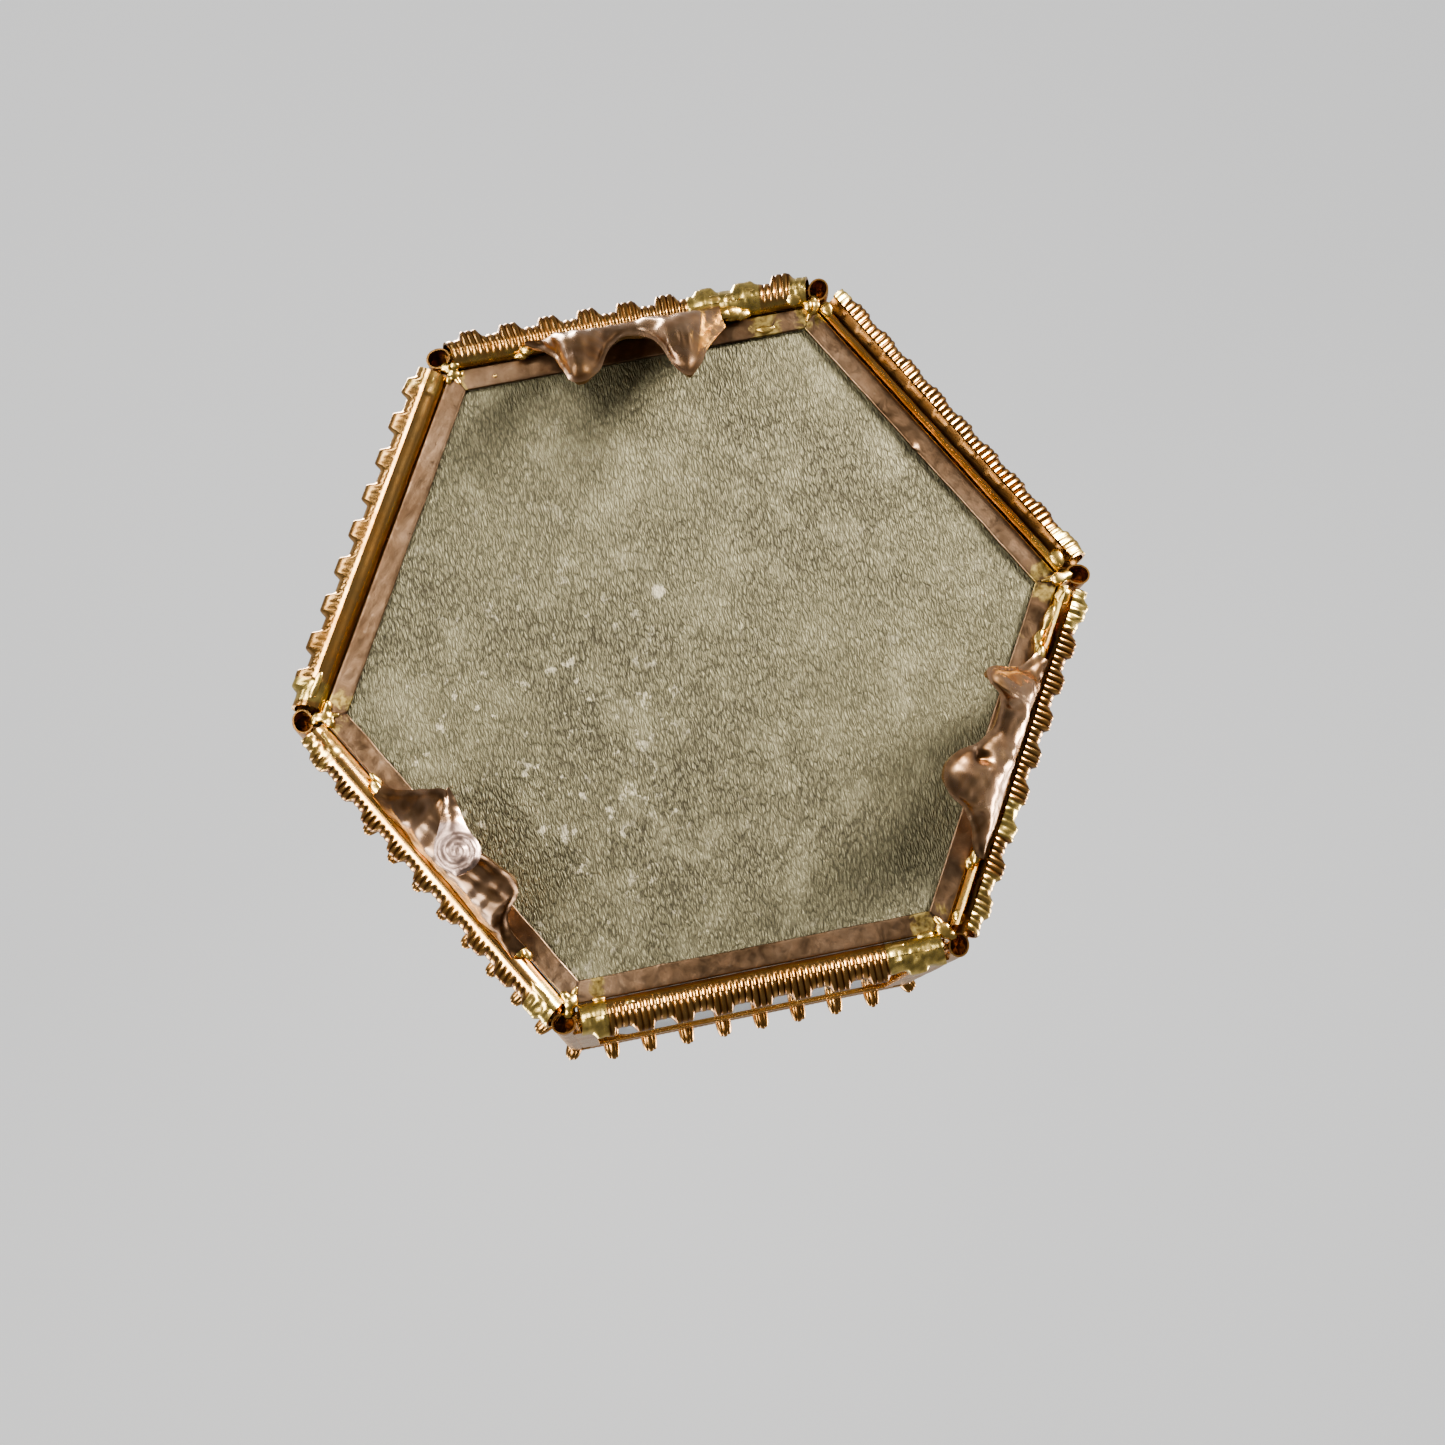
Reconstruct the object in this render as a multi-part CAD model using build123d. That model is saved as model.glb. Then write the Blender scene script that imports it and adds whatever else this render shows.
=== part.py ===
from build123d import *
import math
import os

# Hexagonal gilt-brass and bevelled-glass display casket on three stamped feet.
# Upright, +Z up, origin on the table under the middle of the box.
# Corners lie at 0, 60, 120 ... degrees, so the sides face 30, 90 (back, hinge),
# 150, 210, 270 (front) and 330 degrees.

# ---- driving dimensions (mm) ----
PAPER_AF = 35.0 * math.cos(math.radians(30))   # panel apothem seen inside the lips
LIP_W = 2.15            # width of the flat lip under the floor panel
LIP_T = 0.5             # lip thickness
Z_PAPER = 11.6          # underside of the floor panel
PAPER_T = 0.3
BOARD_T = 1.7
BOARD_AP = 31.7
TUBE_R = 1.5            # rolled base rail, outer radius
TUBE_T = 0.3            # brass strip gauge
TUBE_AP = 34.1          # rail centre line, distance from the axis
TUBE_Z = 11.2           # rail centre line height
SLOT_W = 0.4            # open seam of the rolled rail
LOBE_OUT = 0.8          # how far each scallop stands out of the rail
LOBE_W = 2.0
LOBE_PITCH = 3.92
LOBES = 9
RAIL_HALF = 18.2        # half length of each base and rim rail
PANE_IN = 33.3          # side glass, inner face
PANE_OUT = 34.9         # side glass, outer face
PANE_HALF = 18.35
CH_T = 0.3              # channel gauge
CH_Z0 = 12.6            # underside of the glass channel web
CH_TOP = 15.2           # top of the base channel legs
RIM_BOT = 60.1          # lower edge of the rim channel legs
RIM_TOP = 62.6
POST_R = 1.15
POST_RING = 39.4        # corner posts, distance from the axis
LID_Z0 = 62.8           # underside of the lid frame
LID_H = 3.1
LID_AP = 35.3           # outer face of the lid frame
LID_GLASS_AP = 34.9
LID_GLASS_EDGE = 2.3
LID_TOP = 67.0          # flat top of the lid glass
PICOT_PITCH = 4.5
PICOT_W = 1.9
PICOT_OUT = 37.1        # outermost reach of the lid picots
PICOT_Z = 64.35
HINGE_AP = 36.5
HINGE_Z = 62.72
KNUCKLE_R = 0.95
PIN_R = 0.45
PIN_CLEAR = 0.05
PAD_AP = 31.2
PAD_H = 4.4
FOOT_HALF = 11.0
FOOT_T = 0.6
FOOT_TIP = {90: 25.8, 210: 27.0, 330: 23.8}    # where each foot's lobes reach the table

SIDE = {30: "right_back", 90: "back", 150: "left_back",
        210: "left_front", 270: "front", 330: "right_front"}
CORNER = {0: "right", 60: "back_right", 120: "back_left",
          180: "left", 240: "front_left", 300: "front_right"}

os.makedirs("parts", exist_ok=True)


def save(shape, name):
    if not isinstance(shape, (Solid, Compound, Part)):
        shape = Compound(children=list(shape))
    export_step(shape, "parts/%s.step" % name)


def xz(sketch):
    # a sketch in (distance from axis, height), placed on the side facing +X
    return Plane.XZ * sketch


def run(sketch, half, offset=0.0):
    # extrude a side profile along the side
    s = extrude(xz(sketch), amount=half, both=True)
    return Pos(0, offset, 0) * s if offset else s


def poly(*pts):
    return make_face(Polyline(*pts, close=True))


def rect(r0, r1, z0, z1):
    return poly((r0, z0), (r1, z0), (r1, z1), (r0, z1))


def box(r0, r1, u0, u1, z0, z1):
    return Pos((r0 + r1) / 2, (u0 + u1) / 2, (z0 + z1) / 2) * Box(r1 - r0, u1 - u0, z1 - z0)


def turn(shape, deg):
    return Rot(0, 0, deg) * shape


def hexagon(ap, z, h):
    # corners on +-X
    f = Pos(0, 0, z) * RegularPolygon(ap / math.cos(math.radians(30)), 6)
    return extrude(f, amount=h)


def mitre(gap=0.03):
    # sector that trims a side piece to its 60 degree share
    far = 70.0
    t = far * math.tan(math.radians(30))
    f = make_face(Polyline((gap, 0), (far, t - gap), (far, -t + gap), close=True))
    return extrude(f, amount=90)


def circ(r, z, rad):
    return Pos(r, z) * Circle(rad)


SECTOR = mitre()

# ---- floor: board with a gold leatherette paper pasted under it ----
save(hexagon(BOARD_AP, Z_PAPER, PAPER_T), "floor_paper")
save(hexagon(BOARD_AP, Z_PAPER + PAPER_T, BOARD_T), "floor_board")

# ---- L-section lips that carry the board, mitred at the corners ----
LIP_OUT = PAPER_AF + LIP_W
lip_profile = poly((PAPER_AF, Z_PAPER - LIP_T), (LIP_OUT, Z_PAPER - LIP_T),
                   (LIP_OUT, Z_PAPER + 3.2), (LIP_OUT - 0.4, Z_PAPER + 3.2),
                   (LIP_OUT - 0.4, Z_PAPER), (PAPER_AF, Z_PAPER))
lip = run(lip_profile, 25) & SECTOR

# ---- rolled, scalloped base rail with the glass channel on top ----
ring = circ(TUBE_AP, TUBE_Z, TUBE_R) - circ(TUBE_AP, TUBE_Z, TUBE_R - TUBE_T)
ring = ring - rect(TUBE_AP - 0.1, TUBE_AP - 0.1 + SLOT_W, TUBE_Z - 2.0, TUBE_Z)
chan_base = rect(PANE_IN - CH_T, PANE_OUT + CH_T, CH_Z0, CH_Z0 + CH_T)
chan_in = rect(PANE_IN - CH_T, PANE_IN, CH_Z0, CH_TOP)
chan_out = rect(PANE_OUT, PANE_OUT + CH_T, CH_Z0, CH_TOP)
rail_core = run(ring + chan_base + chan_in + chan_out, RAIL_HALF)
lobe_profile = circ(TUBE_AP + LOBE_OUT, TUBE_Z, TUBE_R) - circ(TUBE_AP, TUBE_Z, TUBE_R - 0.12)


def base_rail(shift):
    r = rail_core
    for k in range(LOBES):
        u = (k - (LOBES - 1) / 2) * LOBE_PITCH + shift
        if abs(u) + LOBE_W / 2 < RAIL_HALF:
            r = r + run(lobe_profile, LOBE_W / 2, u)
    return r


rail = base_rail(0.0)
tube_fill = run(circ(TUBE_AP, TUBE_Z, TUBE_R), RAIL_HALF)

# ---- bevelled side glass ----
z_lo, z_hi = CH_Z0 + CH_T, RIM_TOP - CH_T
pane_v = run(poly((PANE_IN, z_lo), (PANE_OUT - 0.6, z_lo), (PANE_OUT, z_lo + 5.0),
                  (PANE_OUT, z_hi - 5.0), (PANE_OUT - 0.6, z_hi), (PANE_IN, z_hi)), PANE_HALF)
pane_h = extrude(Pos(0, 0, z_lo) * make_face(Polyline(
    (PANE_IN, -PANE_HALF), (PANE_OUT - 0.6, -PANE_HALF), (PANE_OUT, -PANE_HALF + 4.6),
    (PANE_OUT, PANE_HALF - 4.6), (PANE_OUT - 0.6, PANE_HALF), (PANE_IN, PANE_HALF), close=True)),
    amount=z_hi - z_lo)
pane = pane_v & pane_h

# ---- rim channel over the top edge of the glass ----
rim = run(rect(PANE_IN - CH_T, PANE_OUT + CH_T, RIM_TOP - CH_T, RIM_TOP)
          + rect(PANE_IN - CH_T, PANE_IN, RIM_BOT, RIM_TOP)
          + rect(PANE_OUT, PANE_OUT + CH_T, RIM_BOT, RIM_TOP), RAIL_HALF)

# ---- lid frame: C-channel with picots, mitred ----
lid_profile = poly((32.6, LID_Z0), (LID_AP, LID_Z0), (LID_AP, LID_Z0 + LID_H),
                   (33.3, LID_Z0 + LID_H), (33.3, LID_Z0 + LID_H - CH_T),
                   (LID_AP - CH_T, LID_Z0 + LID_H - CH_T), (LID_AP - CH_T, LID_Z0 + CH_T),
                   (32.6, LID_Z0 + CH_T))
lid_core = run(lid_profile, 25) & SECTOR


def picot(u):
    neck = box(LID_AP - 0.1, PICOT_OUT - PICOT_W / 2, u - PICOT_W / 2, u + PICOT_W / 2,
               PICOT_Z - 0.9, PICOT_Z + 0.9)
    tip = Pos(PICOT_OUT - PICOT_W / 2, u, PICOT_Z - 0.9) * extrude(Circle(PICOT_W / 2), amount=1.8)
    return neck + tip


def lid_rail(skip):
    r = lid_core
    for k in range(8):
        u = (k - 3.5) * PICOT_PITCH
        if abs(u) > skip:
            r = r + picot(u)
    return r


lid_plain = lid_rail(0.0)
lid_front = lid_rail(3.0)
lid_back = lid_rail(8.0)

for deg, name in SIDE.items():
    save(turn(lip, deg), "floor_lip_" + name)
    save(turn(rail, deg), "base_rail_" + name)
    save(turn(pane, deg), "side_glass_" + name)
    save(turn(rim, deg), "rim_rail_" + name)
    lr = lid_back if deg == 90 else lid_front if deg == 270 else lid_plain
    save(turn(lr, deg), "lid_rail_" + name)

# ---- corner posts: a rolled tube with fins that grip both panes ----
cr = math.cos(math.radians(30)) * POST_RING
cu = 0.5 * POST_RING
tube_z0, tube_z1 = 10.9, RIM_TOP
wall = Pos(cr, cu, tube_z0) * extrude(Circle(POST_R) - Circle(POST_R - 0.35), amount=tube_z1 - tube_z0)
hole = Pos(cr, cu, tube_z0) * extrude(Circle(POST_R - 0.35), amount=tube_z1 - tube_z0)


def fins(sign):
    a = box(PANE_OUT, PANE_OUT + CH_T, 17.0, cu, CH_TOP + 0.1, RIM_BOT - 0.1)
    b = box(PANE_IN - CH_T, PANE_IN, 17.0, cu - 0.4, CH_TOP + 0.1, RIM_BOT - 0.1)
    f = a + b
    return f if sign > 0 else mirror(f, about=Plane.XZ)


post = wall + (fins(1) - hole) + (turn(fins(-1), 60) - hole)
for deg, name in CORNER.items():
    save(turn(post, deg - 30), "corner_post_" + name)


# ---- stamped feet ----
def foot(tip):
    top_r, top_z = 33.4, 10.4
    mid1 = (top_r - 0.16 * (top_r - tip), 6.8)
    mid2 = (top_r - 0.56 * (top_r - tip), 3.0)
    outer = [(top_r + 0.35, top_z), (mid1[0] + 0.35, mid1[1]), (mid2[0] + 0.3, mid2[1]), (tip + 0.35, 0.0)]
    inner = [(tip - 0.35, 0.0), (mid2[0] - 0.35, mid2[1]), (mid1[0] - 0.3, mid1[1]), (top_r - 0.35, top_z)]
    sheet = run(poly(*(outer + inner)), FOOT_HALF)
    # outline across the foot: curl, lobe, arch, lobe, curl
    pts = [(-11.0, 10.4), (-11.0, 8.9), (-9.6, 8.3), (-8.6, 6.6), (-7.9, 4.2), (-7.2, 1.6), (-6.6, 0.0),
           (-5.0, 0.0), (-4.2, 1.5), (-3.0, 4.2), (-1.6, 5.6), (0, 6.0)]
    pts = pts + [(-u, z) for u, z in pts[-2::-1]]
    outline = Plane.YZ * make_face(Polyline(*pts, close=True))
    blade = sheet & extrude(outline, amount=60)
    return blade - tube_fill


feet = {}
for deg in FOOT_TIP:
    feet[deg] = turn(foot(FOOT_TIP[deg]), deg)
    save(feet[deg], "foot_" + SIDE[deg])

# ---- solder: six corner fillets, and a bead at each end of each foot ----
corner_blobs = []
for deg in CORNER:
    b = Pos(38.9, 0, 10.9) * Sphere(1.25)
    b = turn(b, deg)
    for d in (deg - 30, deg + 30):
        b = b - turn(run(circ(TUBE_AP, TUBE_Z, TUBE_R) + rect(32.2, 35.6, 12.0, 16), RAIL_HALF), d)
    b = b - turn(Pos(cr, cu, 8) * extrude(Circle(POST_R), amount=10), deg - 30)
    corner_blobs += [s for s in b.solids() if s.volume > 0.25]
save(Compound(children=corner_blobs), "corner_solder")

foot_blobs = []
for deg in FOOT_TIP:
    for u in (-9.9, 9.9):
        b = run(circ(32.35, 10.25, 0.8), 1.2, u) - run(circ(TUBE_AP, TUBE_Z, TUBE_R), 15)
        b = b - run(rect(30, LIP_OUT, Z_PAPER - LIP_T, 14), 15)
        b = turn(b, deg) - feet[deg]
        foot_blobs += sorted(b.solids(), key=lambda s: s.volume)[-1:]
save(Compound(children=foot_blobs), "foot_solder")

# ---- padded liner on the floor board ----
pad = hexagon(PAD_AP, Z_PAPER + PAPER_T + BOARD_T, PAD_H)
pad = fillet(pad.faces().sort_by(Axis.Z)[-1].edges(), 1.8)
save(pad, "velvet_pad")

# ---- hinge on the back side ----
ROOT_K = [(-7.0, -4.2), (-1.4, 1.4), (4.2, 7.0)]
LID_K = [(-4.1, -1.5), (1.5, 4.1)]


def knuckles(spans, bore, arm):
    out = None
    for u0, u1 in spans:
        k = run(circ(HINGE_AP, HINGE_Z, KNUCKLE_R) + arm - circ(HINGE_AP, HINGE_Z, bore), (u1 - u0) / 2, (u0 + u1) / 2)
        out = k if out is None else out + k
    return out


body_leaf = box(PANE_OUT + CH_T, PANE_OUT + CH_T + 0.35, -7.0, 7.0, 59.2, 62.3)
body_leaf = body_leaf + knuckles(ROOT_K, PIN_R + 0.02, rect(35.3, HINGE_AP, 61.8, 62.25))
save(turn(body_leaf, 90), "hinge_leaf_body")
lid_leaf = box(LID_AP, LID_AP + 0.3, -5.4, 5.4, 63.2, 65.6)
lid_leaf = lid_leaf + knuckles(LID_K, PIN_R + PIN_CLEAR, rect(35.4, HINGE_AP, 63.2, 63.62))
save(turn(lid_leaf, 90), "hinge_leaf_lid")
pin = run(circ(HINGE_AP, HINGE_Z, PIN_R), 7.3)
pin = pin + run(circ(HINGE_AP, HINGE_Z, 0.75), 0.15, 7.3) + run(circ(HINGE_AP, HINGE_Z, 0.75), 0.15, -7.3)
save(turn(pin, 90), "hinge_pin")

# ---- bevelled lid glass ----
z1 = LID_Z0 + CH_T
z2 = z1 + LID_GLASS_EDGE
slab = hexagon(LID_GLASS_AP, z1, LID_GLASS_EDGE)
lower = Pos(0, 0, z2) * RegularPolygon(33.2 / math.cos(math.radians(30)), 6)
upper = Pos(0, 0, LID_TOP) * RegularPolygon(26.6 / math.cos(math.radians(30)), 6)
save(slab + loft([lower, upper]), "lid_glass")

# ---- picots on the lid corners ----
corner_picots = []
for deg in CORNER:
    c = LID_AP / math.cos(math.radians(30))
    b = Pos(c + 0.1, 0, PICOT_Z - 0.9) * extrude(Circle(1.0), amount=1.8)
    b = turn(b, deg)
    b = b - hexagon(LID_AP, 60, 10)
    wedge = [s for s in b.solids() if s.volume > 0.3]
    corner_picots += sorted(wedge, key=lambda s: s.volume)[-1:]
save(Compound(children=corner_picots), "lid_corner_picots")

# ---- thumb tab on the lid front ----
tab = box(LID_AP, 35.85, -1.6, 1.6, 64.0, 64.7) + Pos(35.85, 0, 64.0) * extrude(Circle(1.6), amount=0.7)
tab = tab & box(LID_AP, 39.0, -3, 3, 63, 66)
save(turn(tab, 270), "lid_tab")
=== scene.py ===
import bpy, bmesh, math
import numpy as np
from mathutils import Matrix, Vector


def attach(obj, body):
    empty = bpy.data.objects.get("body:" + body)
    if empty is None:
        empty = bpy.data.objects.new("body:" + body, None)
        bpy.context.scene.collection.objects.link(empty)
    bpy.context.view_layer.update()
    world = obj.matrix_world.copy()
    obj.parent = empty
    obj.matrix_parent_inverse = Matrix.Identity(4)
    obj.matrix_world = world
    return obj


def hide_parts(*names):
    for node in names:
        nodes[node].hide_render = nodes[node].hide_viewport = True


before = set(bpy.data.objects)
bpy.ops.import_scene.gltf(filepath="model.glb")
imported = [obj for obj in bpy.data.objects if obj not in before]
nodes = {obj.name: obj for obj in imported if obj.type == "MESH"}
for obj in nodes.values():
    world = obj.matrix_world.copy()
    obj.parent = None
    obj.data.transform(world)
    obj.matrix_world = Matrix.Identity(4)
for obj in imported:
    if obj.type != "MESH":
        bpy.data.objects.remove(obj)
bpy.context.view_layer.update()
S = bpy.context.scene
MM = 0.001
SIDE = {30: "right_back", 90: "back", 150: "left_back", 210: "left_front", 270: "front", 330: "right_front"}
CORNER = {0: "right", 60: "back_right", 120: "back_left", 180: "left", 240: "front_left", 300: "front_right"}
T30 = math.tan(math.radians(30))

# ---------------------------------------------------------------- camera
RIGHT = Vector((0.319804, 0.9468394, -0.034936))
UP = Vector((0.9333923, -0.3211691, -0.1600914))
BACK = Vector((-0.1628012, 0.0185889, -0.9864838))
EYE = Vector((-0.0458883, 0.0096188, -0.2287171))
cam_data = bpy.data.cameras.new("main_camera")
cam = bpy.data.objects.new("main_camera", cam_data)
S.collection.objects.link(cam)
cam.matrix_world = Matrix(((RIGHT.x, UP.x, BACK.x, EYE.x), (RIGHT.y, UP.y, BACK.y, EYE.y),
                           (RIGHT.z, UP.z, BACK.z, EYE.z), (0, 0, 0, 1)))
cam_data.sensor_width = 36
cam_data.lens = 61.04
cam_data.clip_start, cam_data.clip_end = 0.01, 20
S.camera = cam
S.view_settings.view_transform = "AgX"
S.view_settings.look = "AgX - Medium High Contrast"
S.view_settings.exposure = 0.0


# ---------------------------------------------------------------- node helpers
class Tree:
    def __init__(self, name):
        self.mat = bpy.data.materials.new(name)
        self.mat.use_nodes = True
        self.nt = self.mat.node_tree
        self.nt.nodes.clear()
        self.out = self.nt.nodes.new("ShaderNodeOutputMaterial")
        self.coord = None

    def n(self, kind, **vals):
        node = self.nt.nodes.new(kind)
        for k, v in vals.items():
            setattr(node, k, v)
        return node

    def put(self, socket, value):
        if hasattr(value, "is_linked") or hasattr(value, "links"):
            self.nt.links.new(value, socket)
        elif value is not None:
            socket.default_value = value

    def obj(self):
        if self.coord is None:
            self.coord = self.n("ShaderNodeTexCoord").outputs["Object"]
        return self.coord

    def mapping(self, scale=(1, 1, 1), rot=(0, 0, 0), loc=(0, 0, 0), vec=None):
        m = self.n("ShaderNodeMapping")
        self.put(m.inputs["Vector"], vec or self.obj())
        m.inputs["Scale"].default_value = scale
        m.inputs["Rotation"].default_value = rot
        m.inputs["Location"].default_value = loc
        return m.outputs[0]

    def noise(self, scale, detail=3, rough=0.55, vec=None, distort=0.0):
        t = self.n("ShaderNodeTexNoise")
        self.put(t.inputs["Vector"], vec or self.obj())
        t.inputs["Scale"].default_value = scale
        t.inputs["Detail"].default_value = detail
        t.inputs["Roughness"].default_value = rough
        t.inputs["Distortion"].default_value = distort
        return t.outputs[0]

    def voronoi(self, scale, vec=None, feature="F1", out="Distance", rand=1.0, smooth=None):
        t = self.n("ShaderNodeTexVoronoi", feature=feature)
        self.put(t.inputs["Vector"], vec or self.obj())
        t.inputs["Scale"].default_value = scale
        t.inputs["Randomness"].default_value = rand
        if smooth is not None:
            t.inputs["Smoothness"].default_value = smooth
        return t.outputs[out]

    def attr(self, name):
        return self.n("ShaderNodeAttribute", attribute_name=name).outputs["Fac"]

    def math(self, op, a, b=None, clamp=False):
        m = self.n("ShaderNodeMath", operation=op, use_clamp=clamp)
        self.put(m.inputs[0], a)
        if b is not None:
            self.put(m.inputs[1], b)
        return m.outputs[0]

    def remap(self, v, a, b, c=0.0, d=1.0):
        m = self.n("ShaderNodeMapRange")
        self.put(m.inputs["Value"], v)
        for key, val in (("From Min", a), ("From Max", b), ("To Min", c), ("To Max", d)):
            m.inputs[key].default_value = val
        return m.outputs[0]

    def ramp(self, fac, stops):
        r = self.n("ShaderNodeValToRGB")
        self.put(r.inputs[0], fac)
        e = r.color_ramp.elements
        while len(e) < len(stops):
            e.new(0.5)
        for el, (p, c) in zip(e, stops):
            el.position = p
            el.color = (*c, 1) if len(c) == 3 else c
        return r.outputs[0]

    def mix(self, fac, a, b, blend="MIX"):
        m = self.n("ShaderNodeMix", data_type="RGBA", blend_type=blend)
        self.put(m.inputs["Factor"], fac)
        for key, v in (("A", a), ("B", b)):
            s = [i for i in m.inputs if i.name == key and i.type == "RGBA"][0]
            self.put(s, (*v, 1) if isinstance(v, tuple) and len(v) == 3 else v)
        return [o for o in m.outputs if o.type == "RGBA"][0]

    def bump(self, height, strength, dist, normal=None):
        b = self.n("ShaderNodeBump")
        b.inputs["Strength"].default_value = strength
        b.inputs["Distance"].default_value = dist
        self.put(b.inputs["Height"], height)
        if normal is not None:
            self.put(b.inputs["Normal"], normal)
        return b.outputs[0]

    def bsdf(self, **vals):
        p = self.n("ShaderNodeBsdfPrincipled")
        for k, v in vals.items():
            key = k.replace("_", " ")
            if isinstance(v, tuple) and len(v) == 3:
                v = (*v, 1)
            self.put(p.inputs[key], v)
        self.nt.links.new(p.outputs[0], self.out.inputs[0])
        return p


def metal(name, base, dark, deep, solder=(0.60, 0.50, 0.13), rough=0.2, rough_var=0.16, tarnish=(0.42, 0.66),
          scratch=0.035, stretch=None, grain=0.025, uses_attr=True, solder_rough=0.05):
    """Worn brass: base colour on the high spots, dark tarnish in patches, a deep colour as painted shade with some
    grime in hollows and on shaded faces, yellow-green where solder ran.
    """
    t = Tree(name)
    big = t.noise(190, 4, 0.6)
    mid = t.noise(900, 4, 0.62)
    patch = t.math("ADD", t.math("MULTIPLY", big, 0.55), t.math("MULTIPLY", mid, 0.45))
    fac = t.remap(patch, tarnish[0], tarnish[1])
    col = t.mix(fac, base, dark)
    hue = t.noise(420, 2, 0.5, vec=t.mapping(loc=(0.3, 0.1, 0.7)))
    col = t.mix(t.remap(hue, 0.35, 0.7, 0.0, 0.35), col, tuple(min(1, c * k) for c, k in zip(base, (1.1, 0.82, 0.62))))
    rgh = t.remap(patch, 0.3, 0.75, rough, rough + rough_var)
    if uses_attr:
        # painted shade, partly grime: the mesh attribute pulls hollows and shaded faces towards the deep colour
        g = t.attr("grime_and_painted_shade")
        col = t.mix(t.math("MULTIPLY", g, 0.9, True), col, deep)
        s = t.attr("solder")
        edge = t.math("ADD", s, t.math("MULTIPLY", t.math("SUBTRACT", mid, 0.5), 0.7))
        sf = t.remap(edge, 0.3, 0.6)
        scol = t.mix(t.remap(t.noise(1500, 3), 0.35, 0.7), solder, tuple(c * 0.58 for c in solder))
        col = t.mix(sf, col, scol)
        rgh = t.math("ADD", rgh, t.math("ADD", t.math("MULTIPLY", g, 0.10), t.math("MULTIPLY", sf, solder_rough)))
    fine = t.noise(5200, 3, 0.6)
    scr = t.noise(1.0, 2, 0.5, vec=t.mapping(scale=stretch or (900, 9000, 9000)))
    h = t.math("ADD", t.math("MULTIPLY", fine, grain), t.math("MULTIPLY", scr, scratch))
    h = t.math("ADD", h, t.math("MULTIPLY", mid, 0.32))
    t.bsdf(Base_Color=col, Metallic=1.0, Roughness=rgh, Normal=t.bump(h, 0.35, 0.00012))
    return t.mat


GILT = metal("gilt_brass", (0.76, 0.46, 0.18), (0.40, 0.20, 0.06), (0.10, 0.034, 0.009), solder=(0.90, 0.66, 0.23), rough=0.15)
GILT_LID = metal("gilt_brass_lid", (0.74, 0.43, 0.16), (0.36, 0.18, 0.06), (0.10, 0.04, 0.014), rough=0.2)
GILT_PLAIN = metal("gilt_brass_plain", (0.76, 0.45, 0.165), (0.38, 0.19, 0.06), (0.10, 0.04, 0.014), rough=0.2, uses_attr=False)
ROSE = metal("rose_brass", (0.70, 0.46, 0.295), (0.42, 0.245, 0.105), (0.095, 0.042, 0.012), solder=(0.52, 0.37, 0.31), rough=0.20, rough_var=0.10, tarnish=(0.40, 0.70), scratch=0.02, grain=0.02, solder_rough=0.13)
SOLDER = metal("solder", (0.90, 0.67, 0.25), (0.50, 0.33, 0.10), (0.14, 0.09, 0.02), rough=0.19, scratch=0.0, grain=0.02, uses_attr=False)


def lip_metal():
    t = Tree("copper_strip")
    big = t.noise(160, 4, 0.65)
    mid = t.noise(560, 5, 0.68, distort=1.2)
    col = t.ramp(big, [(0.32, (0.105, 0.062, 0.034)), (0.5, (0.235, 0.148, 0.088)), (0.68, (0.37, 0.245, 0.155))])
    col = t.mix(t.remap(mid, 0.5, 0.72, 0, 0.6), col, (0.15, 0.085, 0.05))
    # painted shade, partly grime: near-black brown where the mesh attribute is high
    col = t.mix(t.math("MULTIPLY", t.attr("grime_and_painted_shade"), 0.85, True), col, (0.05, 0.025, 0.015))
    s = t.attr("solder")
    sf = t.remap(t.math("ADD", s, t.math("MULTIPLY", t.math("SUBTRACT", mid, 0.5), 1.6)), 0.52, 0.70)
    col = t.mix(sf, col, t.mix(t.remap(t.noise(1800, 3), 0.38, 0.66), (0.50, 0.37, 0.14), (0.20, 0.13, 0.045)))
    stain = t.voronoi(620, vec=t.mapping(loc=(0.02, 0.05, 0.01)))
    col = t.mix(t.remap(stain, 0.02, 0.14, 0.30, 0.0), col, (0.50, 0.36, 0.25))
    fine = t.noise(6000, 3, 0.6)
    h = t.math("ADD", t.math("MULTIPLY", fine, 0.3), t.math("MULTIPLY", mid, 0.6))
    t.bsdf(Base_Color=col, Metallic=1.0, Roughness=t.remap(mid, 0.3, 0.75, 0.27, 0.48), Normal=t.bump(h, 0.35, 0.0001))
    return t.mat


LIP = lip_metal()

GRAIN_ROT = (0, 0, math.radians(30))


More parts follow.
